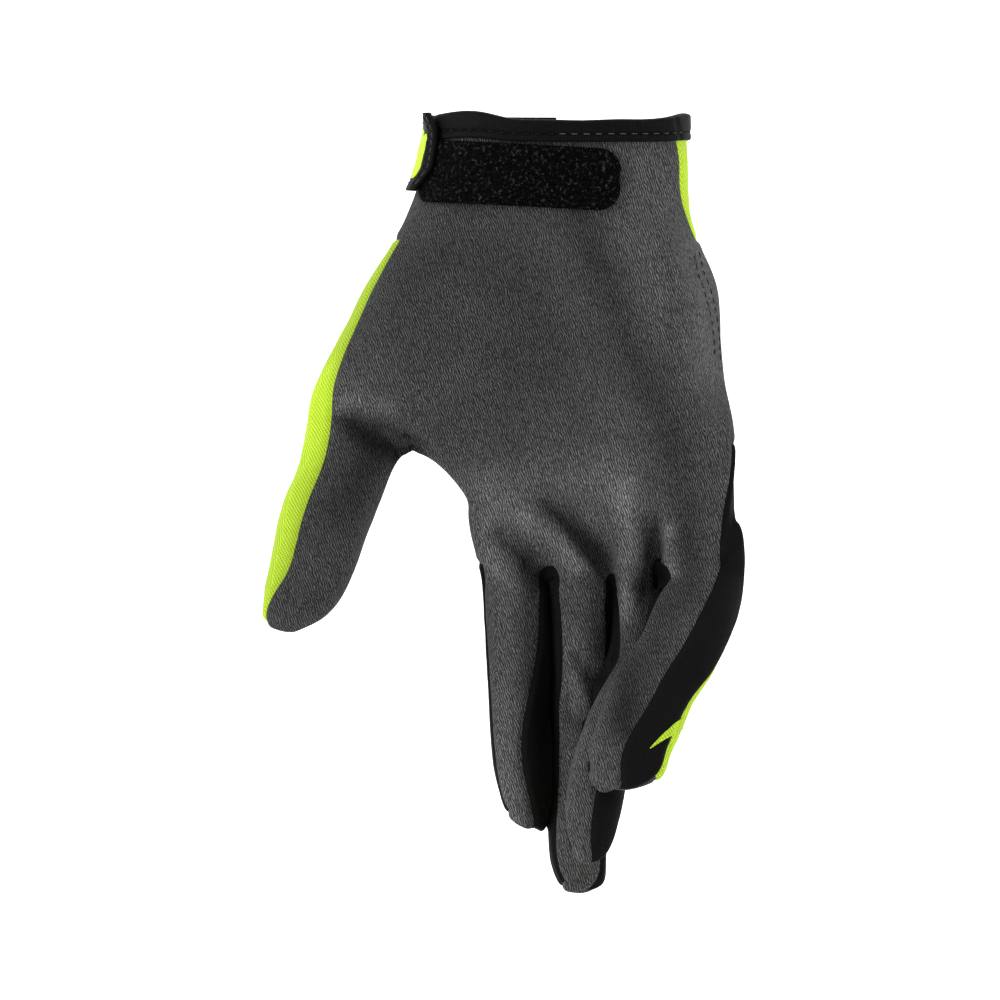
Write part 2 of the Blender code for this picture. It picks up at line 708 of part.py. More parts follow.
def cuff_binding(places, normals, loop, surface, finish):
    """A band folded over the cuff's edge, swept round it in one inverted U."""
    wall = max(SUEDE_WALL, KNIT_WALL)
    near = CLEARANCE
    far = CLEARANCE + BINDING_THICKNESS
    crown = BINDING_CROWN * BINDING_THICKNESS
    profile = [
        # outward from the cloth's face, and up from its edge
        (near, -BINDING_LIP),
        (far, -BINDING_LIP),
        (far, near),
        (far - crown, far),
        (-wall - far + crown, far),
        (-wall - far, near),
        (-wall - far, -BINDING_INNER_LIP),
        (-wall - near, -BINDING_INNER_LIP),
        (-wall - near, near),
        (near, near),
    ]
    points = []
    lowest = places[loop][:, 2].min()
    for i in loop:
        out = normals[i] * (1, 1, 0)
        out /= np.linalg.norm(out)
        sink = LIP_SINK * (places[i][2] - lowest)
        for across, up in profile:
            face = np.array(places[i]) + (0, 0, up)
            if up < 0:
                face = np.array(level_hit(surface, places[i], out, up - sink))
            points.append(face + out * across)
    faces = []
    size, turns = len(profile), len(loop)
    for k in range(turns):
        after = (k + 1) % turns
        for j in range(size):
            on = (j + 1) % size
            faces.append((k * size + j, after * size + j, after * size + on, k * size + on))
    return add_object("cuff_binding", points, faces, finish)


def slab(name, inner, outer, finish):
    """A closed sheet between two grids of points of the same size."""
    rows, columns = len(inner), len(inner[0])
    points = [p for row in inner for p in row] + [p for row in outer for p in row]
    count = rows * columns

    def at(i, j, layer):
        return layer * count + i * columns + j

    faces = []
    for i in range(rows - 1):
        for j in range(columns - 1):
            faces.append((at(i, j, 1), at(i + 1, j, 1), at(i + 1, j + 1, 1), at(i, j + 1, 1)))
            faces.append((at(i, j, 0), at(i, j + 1, 0), at(i + 1, j + 1, 0), at(i + 1, j, 0)))
    for i in range(rows - 1):
        for j, flip in ((0, False), (columns - 1, True)):
            quad = (at(i, j, 0), at(i + 1, j, 0), at(i + 1, j, 1), at(i, j, 1))
            faces.append(quad[::-1] if flip else quad)
    for j in range(columns - 1):
        for i, flip in ((0, True), (rows - 1, False)):
            quad = (at(i, j, 0), at(i, j + 1, 0), at(i, j + 1, 1), at(i, j, 1))
            faces.append(quad[::-1] if flip else quad)
    return add_object(name, points, faces, finish)


class Wrist:
    """Places on the outside of the cuff, by the distance round it from the palm side's middle.

    Distances grow toward the thumb side and run on over the back.
    """

    def __init__(self, surface):
        self.surface = surface
        self.turns = list(range(-120, 200, 4))
        rim = [self.hit(turn, WRIST_LEVEL) for turn in self.turns]
        steps = [0.0] + [(b - a).length for a, b in zip(rim, rim[1:])]
        walked = np.cumsum(steps)
        self.walked = walked - np.interp(0, self.turns, walked)

    def hit(self, degrees, z):
        turn = math.radians(degrees)
        heading = Vector((-math.sin(turn), -math.cos(turn), 0))
        return self.surface.ray_cast(Vector((0, 0, min(z, -BINDING_LIP / 2))), heading)[0]

    def at(self, distance, z, off):
        """The point at a distance round the cuff and a height, off the cloth by off."""
        degrees = float(np.interp(distance, self.walked, self.turns))
        before, here, after = (self.hit(degrees + turn, z) for turn in (-AIM_DEGREES, 0, AIM_DEGREES))
        run = after - before
        out = Vector((-run.y, run.x, 0)).normalized()
        return Vector((here.x, here.y, z)) + out * off


def loop_patch(wrist, finish):
    """The pile patch, laid on the palm side of the cuff with its corners rounded."""
    tilt = math.radians(PATCH_TILT)
    inner, outer = [], []
    for i in range(PATCH_ROWS + 1):
        inner.append([])
        outer.append([])
        for j in range(PATCH_STEPS + 1):
            back = PATCH_LENGTH * (1 + math.cos(math.pi * j / PATCH_STEPS)) / 2
            end = min(back, PATCH_LENGTH - back)
            reach = PATCH_HEIGHT / 2
            if end < PATCH_CORNER:
                cut = PATCH_CORNER - end
                reach += math.sqrt(max(0.0, PATCH_CORNER**2 - cut**2)) - PATCH_CORNER
            up = reach * (1 - 2 * i / PATCH_ROWS)
            distance = PATCH_START + back * math.cos(tilt) - up * math.sin(tilt)
            z = -PATCH_DROP + (back - PATCH_LENGTH / 2) * math.sin(tilt) + up * math.cos(tilt)
            inner[i].append(wrist.at(distance, z, PATCH_OFF))
            outer[i].append(wrist.at(distance, z, PATCH_OFF + PATCH_THICKNESS))
    return slab("loop_patch", inner, outer, finish)


def tab_levels():
    """The tab's levels down its width: height, and where its palm-side end lies."""
    for i in range(TAB_ROWS + 1):
        down = i / TAB_ROWS
        yield TAB_TOP - TAB_WIDTH * down, TAB_START + TAB_END_SLANT * down


def tab_lift(share):
    """How far the tab's inner face lies off the cloth: over the patch, then over the binding."""
    over_patch = PATCH_OFF + PATCH_THICKNESS + EDGING_THICKNESS + 2 * CLEARANCE
    over_binding = BINDING_THICKNESS + 2 * CLEARANCE
    fall = min(1.0, max(0.0, (share - TAB_FLAT) / TAB_FALL))
    return blend(over_patch, over_binding, fall)


def closure_tab(wrist, finish):
    """The strap round the thumb side of the wrist, from the back of the cuff to the patch."""
    inner, outer = [], []
    for z, start in tab_levels():
        inner.append([])
        outer.append([])
        for j in range(TAB_STEPS + 1):
            share = j / TAB_STEPS
            distance = blend(start, TAB_START + TAB_LENGTH, share)
            lift = tab_lift(share)
            inner[-1].append(wrist.at(distance, z, lift))
            outer[-1].append(wrist.at(distance, z, lift + TAB_THICKNESS))
    return slab("closure_tab", inner, outer, finish)


def tab_edge_binding(wrist, finish):
    """The folded edging over the tab's palm-side end."""
    near = CLEARANCE
    far = CLEARANCE + EDGING_THICKNESS
    profile = [
        # back along the tab from its end, and outward from its inner face
        (EDGING_WIDTH, TAB_THICKNESS + far),
        (-far, TAB_THICKNESS + far),
        (-far, -far),
        (EDGING_WIDTH, -far),
        (EDGING_WIDTH, -near),
        (-near, -near),
        (-near, TAB_THICKNESS + near),
        (EDGING_WIDTH, TAB_THICKNESS + near),
    ]
    lift = tab_lift(0)
    points = []
    for z, start in tab_levels():
        for back, out in profile:
            points.append(wrist.at(start + back, z, lift + out))
    size = len(profile)
    faces = [tuple(range(size)), tuple(range(len(points) - 1, len(points) - size - 1, -1))]
    for i in range(TAB_ROWS):
        for j in range(size):
            on = (j + 1) % size
            low, high = i * size, (i + 1) * size
            faces.append((low + j, high + j, high + on, low + on))
    return add_object("tab_edge_binding", points, faces, finish)


def build_glove():
    suede = material("suede", 0.85)
    knit = material("knit", 0.75)
    stretch = material("stretch", 0.60)
    neoprene = material("neoprene", 0.55)
    pile = material("pile", 0.95)
    webbing = material("webbing", 0.65)

    cage = build_cage()
    places, quads = smooth(fitted(cage), cage.faces, SMOOTH_LEVEL)
    places = press_creases(places, normals_of(places, quads))
    normals = normals_of(places, quads)
    each = len(quads) // len(cage.faces)
    groups = {}
    for number, quad in enumerate(quads):
        groups.setdefault(cage.panels[number // each], []).append(quad)
    finishes = {"palm_panel": (suede, SUEDE_WALL), "thumb_front": (suede, SUEDE_WALL)}
    finishes["back_panel"] = (knit, KNIT_WALL)
    for name, found in groups.items():
        finish, wall = finishes.get(name, (stretch, STRETCH_WALL))
        points, faces = panel_mesh(places, normals, found, wall)
        add_object(name, points, faces, finish)

    surface = BVHTree.FromPolygons([Vector(p) for p in places], quads)
    cuff_binding(places, normals, top_loop(quads), surface, neoprene)
    wrist = Wrist(surface)
    loop_patch(wrist, pile)
    closure_tab(wrist, webbing)
    tab_edge_binding(wrist, webbing)


def clear_scene():
    for thing in list(bpy.data.objects):
        bpy.data.objects.remove(thing)


clear_scene()
build_glove()
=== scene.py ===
"""A motocross glove for the right hand as it looks: its cloth with the folds, seams, grain and
stitches, on white paper in soft light.

Lengths are metres unless a comment says millimetres. +Z is up, the fingers hang down, the palm
faces -Y and the thumb -X.
"""

import math
import random

import bpy
import numpy as np
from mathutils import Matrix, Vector, kdtree, noise
from mathutils.bvhtree import BVHTree


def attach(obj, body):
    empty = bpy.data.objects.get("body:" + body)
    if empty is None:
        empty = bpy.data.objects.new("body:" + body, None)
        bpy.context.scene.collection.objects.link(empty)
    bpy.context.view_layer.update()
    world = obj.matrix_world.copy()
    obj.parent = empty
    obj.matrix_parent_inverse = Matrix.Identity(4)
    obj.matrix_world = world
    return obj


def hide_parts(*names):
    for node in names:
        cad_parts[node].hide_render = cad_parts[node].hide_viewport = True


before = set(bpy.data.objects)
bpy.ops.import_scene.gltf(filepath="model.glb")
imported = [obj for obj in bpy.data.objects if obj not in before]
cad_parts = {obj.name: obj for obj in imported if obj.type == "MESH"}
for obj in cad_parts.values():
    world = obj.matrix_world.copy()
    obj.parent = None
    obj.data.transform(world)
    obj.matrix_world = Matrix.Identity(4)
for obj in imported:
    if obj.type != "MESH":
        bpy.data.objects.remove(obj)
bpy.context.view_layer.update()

# ---- View, light and paper ----
# The glove is seen from far off, level and square to its palm. White studio paper lies under it
# and bends up behind it. A large soft light stands at the front left, a weaker one at the right.

MM = 0.001
PIXELS = 1000
PIXELS_PER_METRE = 3690
ORIGIN_AT = (558, 125)  # where the middle of the cuff's edge lies in the picture
CAMERA_AWAY = 3.0
LIGHTS = [
    # place, width and height, watts
    ((-1.05, -0.60, 0.35), (0.5, 0.9), 17.0),
    ((1.05, -0.40, 0.25), (0.5, 0.8), 8.0),
    ((0.10, -0.30, 1.10), (0.9, 0.6), 5.0),
]
ROOM_LIGHT = 0.18
GLOVE_MIDDLE = Vector((0, 0, -0.10))
FLOOR_LEVEL = -0.262
PAPER_REACH = 11.4
PAPER_BEND = 0.5
WALL_AWAY = 3.8  # behind every place from which the glove is looked at
PAPER_GLOW = 1.0  # the far paper is lit from behind, so that it comes out white
GLOW_FROM, GLOW_FULL = 350, 700  # how far behind the glove that starts, in millimetres
BEND_STEPS = 12

lens = bpy.data.cameras.new("camera")
lens.sensor_width = 36
lens.lens = lens.sensor_width * CAMERA_AWAY * PIXELS_PER_METRE / PIXELS
lens.clip_end = 20
camera = bpy.data.objects.new("camera", lens)
across, down = PIXELS / 2 - ORIGIN_AT[0], PIXELS / 2 - ORIGIN_AT[1]
camera.location = (across / PIXELS_PER_METRE, -CAMERA_AWAY, -down / PIXELS_PER_METRE)
camera.rotation_euler = (math.pi / 2, 0, 0)
bpy.context.collection.objects.link(camera)
bpy.context.scene.camera = camera

for number, (place, size, watts) in enumerate(LIGHTS):
    lamp = bpy.data.lights.new(f"softbox_{number}", "AREA")
    lamp.shape = "RECTANGLE"
    lamp.size, lamp.size_y = size
    lamp.energy = watts
    softbox = bpy.data.objects.new(f"softbox_{number}", lamp)
    softbox.location = place
    softbox.rotation_euler = (GLOVE_MIDDLE - Vector(place)).to_track_quat("-Z", "Y").to_euler()
    bpy.context.collection.objects.link(softbox)

room = bpy.data.worlds.new("room")
room.use_nodes = True
room.node_tree.nodes["Background"].inputs["Color"].default_value = (1, 1, 1, 1)
room.node_tree.nodes["Background"].inputs["Strength"].default_value = ROOM_LIGHT
bpy.context.scene.world = room
bpy.context.scene.view_settings.view_transform = "Standard"


def linear(code):
    """A #rrggbb colour as linear values with full opacity."""
    shares = [int(code[i : i + 2], 16) / 255 for i in (1, 3, 5)]
    return (*(c / 12.92 if c <= 0.04045 else ((c + 0.055) / 1.055) ** 2.4 for c in shares), 1.0)


def add(tree, kind, inputs=None, **settings):
    """Adds a node. Each input is a value, or the node or socket that feeds it."""
    made = tree.nodes.new("ShaderNode" + kind)
    for key, value in settings.items():
        setattr(made, key, value)
    for key, value in (inputs or {}).items():
        if isinstance(value, bpy.types.Node):
            value = next(out for out in value.outputs if out.enabled)
        if isinstance(value, bpy.types.NodeSocket):
            tree.links.new(value, made.inputs[key])
        else:
            made.inputs[key].default_value = value
    return made


def material(name):
    """A new material, its empty node tree, and the places on the object in millimetres."""
    made = bpy.data.materials.new(name)
    made.use_nodes = True
    tree = made.node_tree
    tree.nodes.clear()
    spot = add(tree, "TexCoord").outputs["Object"]
    return made, tree, add(tree, "VectorMath", {0: spot, "Scale": 1 / MM}, operation="SCALE")


def surface_of(made, colour, roughness, specular, bumps=(), **more):
    """Ends a material. Its colour is a node, one hex value, or a share and the two it mixes.

    Each bump is a height, its depth in millimetres and its strength.
    """
    tree = made.node_tree
    if isinstance(colour, str):
        colour = linear(colour)
    elif isinstance(colour, tuple):
        share, low, high = colour
        colour = add(tree, "Mix", {0: share, 6: linear(low), 7: linear(high)}, data_type="RGBA")
    inputs = {"Base Color": colour, "Roughness": roughness, "Specular IOR Level": specular}
    inputs |= {key.replace("_", " "): value for key, value in more.items()}
    for height, depth, strength in bumps:
        below = {"Normal": inputs["Normal"]} if "Normal" in inputs else {}
        bump = {"Height": height, "Distance": depth * MM, "Strength": strength, **below}
        inputs["Normal"] = add(tree, "Bump", bump)
    add(tree, "OutputMaterial", {"Surface": add(tree, "BsdfPrincipled", inputs)})
    return made


# Uncoated paper is matt and even, without any grain at this distance.
made, tree, place = material("white_uncoated_paper")
behind = add(tree, "SeparateXYZ", {0: place}).outputs["Y"]
glow = add(tree, "MapRange", {0: behind, 1: GLOW_FROM, 2: GLOW_FULL, 3: 0.0, 4: PAPER_GLOW})
light = {"Emission_Color": (1, 1, 1, 1), "Emission_Strength": glow}
PAPER = surface_of(made, "#f4f4f4", 0.9, 0.5, **light)

bend_from = WALL_AWAY - PAPER_BEND
line = [(-PAPER_REACH, FLOOR_LEVEL), (bend_from, FLOOR_LEVEL)]
for step in range(1, BEND_STEPS + 1):
    turn = math.radians(90 * step / BEND_STEPS)
    rise = PAPER_BEND * (1 - math.cos(turn))
    line.append((bend_from + PAPER_BEND * math.sin(turn), FLOOR_LEVEL + rise))
line.append((WALL_AWAY, PAPER_REACH))
points = [(side * PAPER_REACH, y, z) for y, z in line for side in (-1, 1)]
faces = [(2 * i, 2 * i + 1, 2 * i + 3, 2 * i + 2) for i in range(len(line) - 1)]
mesh = bpy.data.meshes.new("paper")
mesh.from_pydata(points, [], faces)
mesh.shade_smooth()
mesh.materials.append(PAPER)
paper = bpy.data.objects.new("paper", mesh)
bpy.context.collection.objects.link(paper)

# ---- The cloth as one surface ----
# All eight cloth panels lie in one surface, as the sewn glove's do. It is the smooth skin of a
# coarse net of sections, worn in: pressed at the creases, folded, uneven, and with the fingers'
# sides swollen toward each other. The seams part it into its panels afterwards.

SMOOTH_LEVEL = 4
LINING_LEVEL = 2


def blend(a, b, share):
    return a + (b - a) * share


def power(value, exponent):
    return math.copysign(abs(value) ** exponent, value)


def ramp(value, low, high):
    """0 below low, 1 above high, smooth between."""
    share = np.clip((value - low) / (high - low), 0, 1)
    return share * share * (3 - 2 * share)


# Sizes of the hand part, in metres
TRUNK_LENGTH = 0.1211  # from the cuff's edge to the fork of the index and middle fingers
WRIST_WIDTH = 0.068
WRIST_DEPTH = 0.044
PALM_WIDTH = 0.082
PALM_DEPTH = 0.036
FORK_DIP = 0.0030  # how deep the surface sinks between two finger roots

EDGE_RISE = 0.0034  # the highest that the cuff's wavy edge climbs
FIT_ROUNDS = 8
FIT_STEP = 0.8  # the share of what is missing that one round makes up
ROUNDNESS = 2.3  # exponent of the sections: 2 is an ellipse, more is squarer
BEND = 1.5  # exponent of the sections' bend toward the palm

# Trunk sections at the cuff. drop is a share of TRUNK_LENGTH, left and right of WRIST_WIDTH, and
# half, middle, thumb and heel of WRIST_DEPTH. thumb and heel bring the two edges forward. The
# seams are degrees round the section: 0 is the right edge, 90 the palm, 180 the left edge.
CUFF_SECTIONS = [
    # drop, left, right, half, middle, thumb, heel, front_left, front_right, back_right, back_left
    (0.004, -0.478, 0.510, 0.50, 0.00, 0.00, 0.00, 162, 30, -36, 218),
    (0.078, -0.522, 0.514, 0.49, 0.00, 0.02, 0.01, 166, 21, -36, 218),
    (0.157, -0.565, 0.518, 0.48, -0.01, 0.05, 0.03, 172, 20, -36, 218),
]
# Trunk sections of the palm, with the same columns as shares of PALM_WIDTH and PALM_DEPTH.
PALM_SECTIONS = [
    (0.257, -0.532, 0.456, 0.555, -0.03, 0.14, 0.06, 169, 0, -38, 218),
    (0.358, -0.629, 0.529, 0.510, 0.00, 0.25, 0.08, 162, -9, -38, 218),
    (0.459, -0.706, 0.543, 0.486, 0.03, 0.36, 0.14, 160, -11, -36, 218),
    (0.570, -0.790, 0.555, 0.458, 0.055, 0.44, 0.17, 155, -10, -30, 218),
    (0.700, -0.827, 0.577, 0.417, 0.11, 0.50, 0.22, 150, -1, -18, 218),
]
# Sections below the thumb's fork, down to the finger roots. The spreads go from even columns to
# columns that follow the finger widths.
KNUCKLE_SECTIONS = [
    (0.817, -0.317, 0.577, 0.400, 0.14, 0.03, 0.28, 166, 17, -9, 218),
    (0.880, -0.290, 0.576, 0.378, 0.15, 0.03, 0.32, 168, 24, -8, 218),
]
KNUCKLE_SPREADS = (0.35, 0.75)
ROOT_HALF = 0.305  # half depth of the finger roots, a share of PALM_DEPTH
ROOT_MIDDLE = 0.167
ROOT_HEEL = 0.39
ROOT_SEAMS = (168, 34, -4, 218)
ROOT_LEFT = -0.261  # where the index finger's root begins, a share of PALM_WIDTH
ROOT_DROPS = (0.985, 1.000, 1.008, 0.973, 0.965)  # outer side, three forks, outer side
ROOT_EDGE_DROPS = {"left": 0.965, "right": 0.945}  # shares of TRUNK_LENGTH, as those above
LITTLE_SIDE = 0.3  # how far the little finger's root runs on round its side, a share of its width
WEB_DROP = 0.004  # how much lower the middle of a web lies than its front, a share of TRUNK_LENGTH
THUMB_WEB_DROP = 0.016
THUMB_FORK_ACROSS = -0.482  # a share of PALM_WIDTH
THUMB_ROOT_ACROSS = -0.6725
THUMB_FORK_DROP = 0.712
THUMB_CREASE_RISE = 0.060  # how much higher the thumb's crease starts at the outer edge
BACK_FORK_RISE = 0.060  # how much higher the forks lie on the back of the hand

# Broad forms of the trunk: across is a share of PALM_WIDTH, drop of TRUNK_LENGTH, and so are the
# two radii; rise is a share of PALM_DEPTH. side is -1 on the palm and 1 on the back.
SWELLS = [
    # side, across, drop, radius_across, radius_drop, rise
    (-1, -0.52, 0.50, 0.24, 0.22, 0.25),  # ball of the thumb
    (-1, 0.35, 0.39, 0.18, 0.22, 0.13),  # heel of the hand
    (-1, 0.00, 0.62, 0.20, 0.25, -0.10),  # hollow of the palm
    (-1, 0.14, 0.90, 0.35, 0.08, 0.05),  # pads below the fingers
    (-1, -0.48, 0.735, 0.09, 0.06, -0.12),  # web of the thumb
    (1, -0.48, 0.735, 0.09, 0.06, -0.14),
    (1, -0.17, 0.87, 0.06, 0.06, 0.09),  # knuckles
    (1, 0.07, 0.86, 0.06, 0.06, 0.10),
    (1, 0.25, 0.88, 0.05, 0.06, 0.08),
    (1, 0.43, 0.90, 0.05, 0.06, 0.06),
]

# Fingers. root is the share of its width that its root takes of the palm's front. Columns of the
# sections: along is a share of length, sideways of width, forward of depth, wide of width and deep
# of depth. The four seams are degrees round the section: 0 is the little-finger side, 90 the palm
# side, 180 the thumb side and 270 the back.
FINGERS = {
    # along, sideways, forward, wide, deep, front_thumb, front_little, back_little, back_thumb
    "index": dict(
        length=0.0696,
        width=0.0178,
        depth=0.0175,
        root=1.04,
        tip=(1.0, 0.26, 0.84),
        sections=[
            (0.08, 0.00, 0.00, 0.96, 1.02, 176, 38, -32, 214),
            (0.27, 0.025, 0.06, 0.94, 1.00, 173, 48, -32, 212),
            (0.46, 0.035, 0.20, 0.91, 0.98, 164, 66, -30, 210),
            (0.64, 0.06, 0.38, 0.86, 0.95, 162, 86, -28, 208),
            (0.79, 0.11, 0.58, 0.80, 0.86, 168, 90, -26, 208),
            (0.91, 0.17, 0.74, 0.62, 0.70, 174, 84, -26, 208),
        ],
    ),
    "middle": dict(
        length=0.0854,
        width=0.0166,
        depth=0.0168,
        root=1.01,
        tip=(1.0, 0.06, 0.95),
        sections=[
            (0.06, 0.00, 0.00, 0.98, 1.04, 138, 34, -30, 212),
            (0.23, 0.00, 0.02, 0.98, 1.02, 127, 32, -30, 212),
            (0.41, -0.02, 0.10, 0.96, 1.00, 132, 35, -30, 212),
            (0.58, -0.03, 0.26, 0.96, 0.97, 134, 36, -30, 212),
            (0.75, -0.05, 0.50, 0.95, 0.94, 136, 38, -30, 212),
            (0.88, -0.05, 0.72, 0.91, 0.86, 142, 39, -30, 212),
            (0.965, 0.02, 0.88, 0.70, 0.62, 150, 40, -30, 212),
        ],
    ),
    "ring": dict(
        length=0.0775,
        width=0.0148,
        depth=0.0155,
        root=0.91,
        tip=(1.0, -0.86, 2.06),
        sections=[
            (0.07, 0.02, 0.00, 0.84, 1.06, 156, 42, -30, 210),
            (0.23, 0.08, 0.10, 0.94, 1.00, 150, 48, -28, 210),
            (0.35, 0.03, 0.42, 0.97, 1.00, 156, 56, -24, 212),
            (0.45, -0.22, 0.82, 1.02, 1.00, 166, 66, -18, 216),
            (0.56, -0.50, 1.19, 1.04, 0.98, 172, 76, -12, 218),
            (0.69, -0.72, 1.52, 1.05, 0.95, 174, 84, -8, 220),
            (0.83, -0.84, 1.80, 1.02, 0.88, 174, 88, -6, 220),
            (0.94, -0.88, 1.98, 0.72, 0.66, 174, 88, -6, 220),
        ],
    ),
    "little": dict(
        length=0.0612,
        width=0.0205,
        depth=0.0152,
        root=0.75,
        tip=(1.01, -0.96, 2.32),
        sections=[
            (0.11, 0.19, 0.22, 1.00, 1.08, 158, 70, -4, 222),
            (0.24, 0.05, 0.62, 1.09, 1.02, 160, 76, -8, 222),
            (0.42, -0.20, 1.14, 1.09, 1.00, 166, 82, 0, 224),
            (0.54, -0.44, 1.36, 1.12, 0.98, 172, 82, 16, 226),
            (0.68, -0.62, 1.72, 1.12, 0.96, 176, 86, 27, 228),
            (0.81, -0.78, 2.02, 1.08, 0.92, 178, 92, 29, 230),
            (0.92, -0.89, 2.22, 0.96, 0.74, 178, 95, 30, 230),
        ],
    ),
}
THUMB = dict(
    length=0.0511,
    width=0.0230,
    depth=0.0195,
    tip=(0.955, -1.02, 0.98),
    sections=[
        (0.184, -0.15, 0.06, 1.04, 1.10, 112, 8, -30, 236),
        (0.381, -0.33, 0.30, 1.05, 1.05, 108, 8, -30, 236),
        (0.592, -0.46, 0.56, 0.99, 0.98, 111, 8, -30, 238),
        (0.770, -0.62, 0.77, 0.87, 0.86, 110, 4, -30, 240),
        (0.885, -0.83, 0.90, 0.60, 0.66, 116, 0, -30, 242),
    ],
)

# Creases pressed into the smoothed surface. Each runs between two points: across is a share of
# PALM_WIDTH, drop of TRUNK_LENGTH, half_width and depth of PALM_DEPTH; side as above.
CREASE_FACING = 0.2  # only where the surface faces that side by more than this
CREASES = [
    # side, across, drop, across_end, drop_end, half_width, depth
    (-1, -0.68, 0.695, -0.50, 0.745, 0.085, 0.050),  # at the thumb's root
    (-1, -0.13, 0.900, -0.045, 1.000, 0.090, 0.050),  # toward the first fork
    (-1, 0.06, 0.880, 0.145, 0.990, 0.090, 0.055),  # toward the second fork
    (-1, 0.27, 0.890, 0.315, 0.960, 0.070, 0.050),  # toward the third fork
    (-1, -0.34, 0.300, -0.10, 0.340, 0.110, 0.020),  # across the heel
    (1, -0.30, 0.300, 0.35, 0.280, 0.120, 0.025),  # at the wrist, on the back
]

# The wave of the cuff's edge: across as a share of WRIST_WIDTH, rise as a share of EDGE_RISE
EDGE_RISES = [
    (-0.50, 0.66), (-0.45, 0.66), (-0.39, 0.82), (-0.30, 0.70), (-0.23, 0.30), (-0.16, 0.08),
    (0.10, 0.00), (0.36, 0.14), (0.44, 0.31), (0.47, 0.50), (0.50, 0.76),
]

FRONT_COLUMNS = 10  # two for the thumb and two for each finger
THUMB_COLUMNS = 2
HEEL_WRAPS_FROM = 3  # the section below which the suede wraps on round the edge of the heel
TUBE_SIDES = 8
FIT_LEVEL = 3


def walked_along(places):
    """How far along a line of places each of them lies."""
    return np.concatenate([[0], np.cumsum(np.linalg.norm(np.diff(places, axis=0), axis=1))])


class Section:
    """One level section of the trunk: a rounded outline bent forward at its two edges."""

    def __init__(self, row, width, depth):
        drop, left, right, *deep, front_left, front_right, back_right, back_left = row
        self.z = -drop * TRUNK_LENGTH
        self.centre = (left + right) / 2 * width
        self.reach = (right - left) / 2 * width
        self.half, self.middle, self.thumb, self.heel = (share * depth for share in deep)
        self.seams = (front_left, front_right, back_right, back_left)

    def bend(self, x):
        across = (x - self.centre) / self.reach
        forward = self.thumb if across < 0 else self.heel
        return self.middle - forward * abs(across) ** BEND

    def swell(self, x, side):
        total = 0.0
        for of_side, across, drop, radius_x, radius_z, rise in SWELLS:
            if of_side == side:
                far_x = (x / PALM_WIDTH - across) / radius_x
                far_z = (-self.z / TRUNK_LENGTH - drop) / radius_z
                total += rise * PALM_DEPTH * math.exp(-far_x * far_x - far_z * far_z)
        return total

    def on_face(self, x, side):
        """The point at x on the palm (side -1) or on the back (side 1)."""
        across = min(1.0, abs(x - self.centre) / self.reach)
        rise = self.half * (1 - across**ROUNDNESS) ** (1 / ROUNDNESS)
        return (x, self.bend(x) + side * (rise + self.swell(x, side)), self.z)

    def at_angle(self, degrees):
        """The point at an angle round it: 0 is the right edge, 90 the palm, 180 the left edge."""
        turn = math.radians(degrees)
        x = self.centre + self.reach * power(math.cos(turn), 2 / ROUNDNESS)
        rise = self.half * power(math.sin(turn), 2 / ROUNDNESS)
        return (x, self.bend(x) - rise, self.z)

    def columns(self, shares):
        """The points of its front and back columns, left to right, and of its two edges."""
        front_left, front_right, back_right, back_left = self.seams
        level = {}
        for name, left, right, side in (
            ("front", front_left, front_right, -1),
            ("back", back_left, back_right, 1),
        ):
            first, last = self.at_angle(left), self.at_angle(right)
            row = [self.on_face(blend(first[0], last[0], share), side) for share in shares]
            level[name] = [first, *row[1:-1], last]
        level["right"] = self.at_angle((front_right + back_right) / 2)
        level["left"] = self.at_angle((front_left + back_left) / 2)
        return level


class Cage:
    """The points that the smooth surface passes through and the quads between them.

    Each quad has its panel, its limb, and its corners' places in the weave: how far round the limb
    from the middle of its back, and how far down.
    """

    def __init__(self):
        self.points = []
        self.faces = []
        self.panels = []
        self.limbs = []
        self.weave = []
        self.down = {}

    def add(self, point):
        self.points.append(point)
        return len(self.points) - 1

    def add_section(self, section):
        row = {side: [self.add(p) for p in section[side]] for side in ("front", "back")}
        return row | {side: self.add(section[side]) for side in ("right", "left")}

    def quad(self, corners, panel, limb, around):
        self.faces.append(corners)
        self.panels.append(panel)
        self.limbs.append(limb)
        self.weave.append([(u, self.down[i]) for u, i in zip(around, corners)])

    def around(self, ring):
        """Where a ring is cut, at the middle of its back, and the distances round it from there."""
        cut = (len(ring) - 4) // 4
        order = [ring[(cut + k) % len(ring)] for k in range(len(ring) + 1)]
        walked = walked_along([self.points[i] for i in order])
        return cut, walked - walked[len(ring) // 2]

    def far(self, a, b):
        return np.linalg.norm(np.subtract(self.points[a], self.points[b]))

    def join(self, upper, lower, panels, limb):
        count = len(upper)
        level = max([self.down[i] for i in upper if i in self.down], default=0.0)
        for i in upper:
            self.down.setdefault(i, level)
        run = np.mean([self.far(a, b) for a, b in zip(upper, lower)])
        self.down |= {i: level + run for i in lower}
        cut, above = self.around(upper)
        _, below = self.around(lower)
        for i in range(count):
            j, k = (i + 1) % count, (i - cut) % count
            around = (below[k], below[k + 1], above[k + 1], above[k])
            self.quad((lower[i], lower[j], upper[j], upper[i]), panels[i], limb, around)

    def tube(self, ring, shape, root, panels, ends, limb):
        """A finger or the thumb, from a ring of the hand to its closed tip."""
        rings, tip = tube_rings(shape, root)
        for points in rings:
            lower = [self.add(p) for p in points]
            self.join(ring, lower, panels, limb)
            ring = lower
        tip = self.add(tip)
        self.down[tip] = self.down[ring[0]] + self.far(ring[0], tip)
        for i, panel in zip(range(0, TUBE_SIDES, 2), ends):
            corners = (ring[(i + 2) % TUBE_SIDES], ring[i + 1], ring[i], tip)
            self.quad(corners, panel, limb, (0, 0, 0, 0))


def ring_of(section):
    """A section's points in order round the ring."""
    return [*section["front"], section["right"], *reversed(section["back"]), section["left"]]


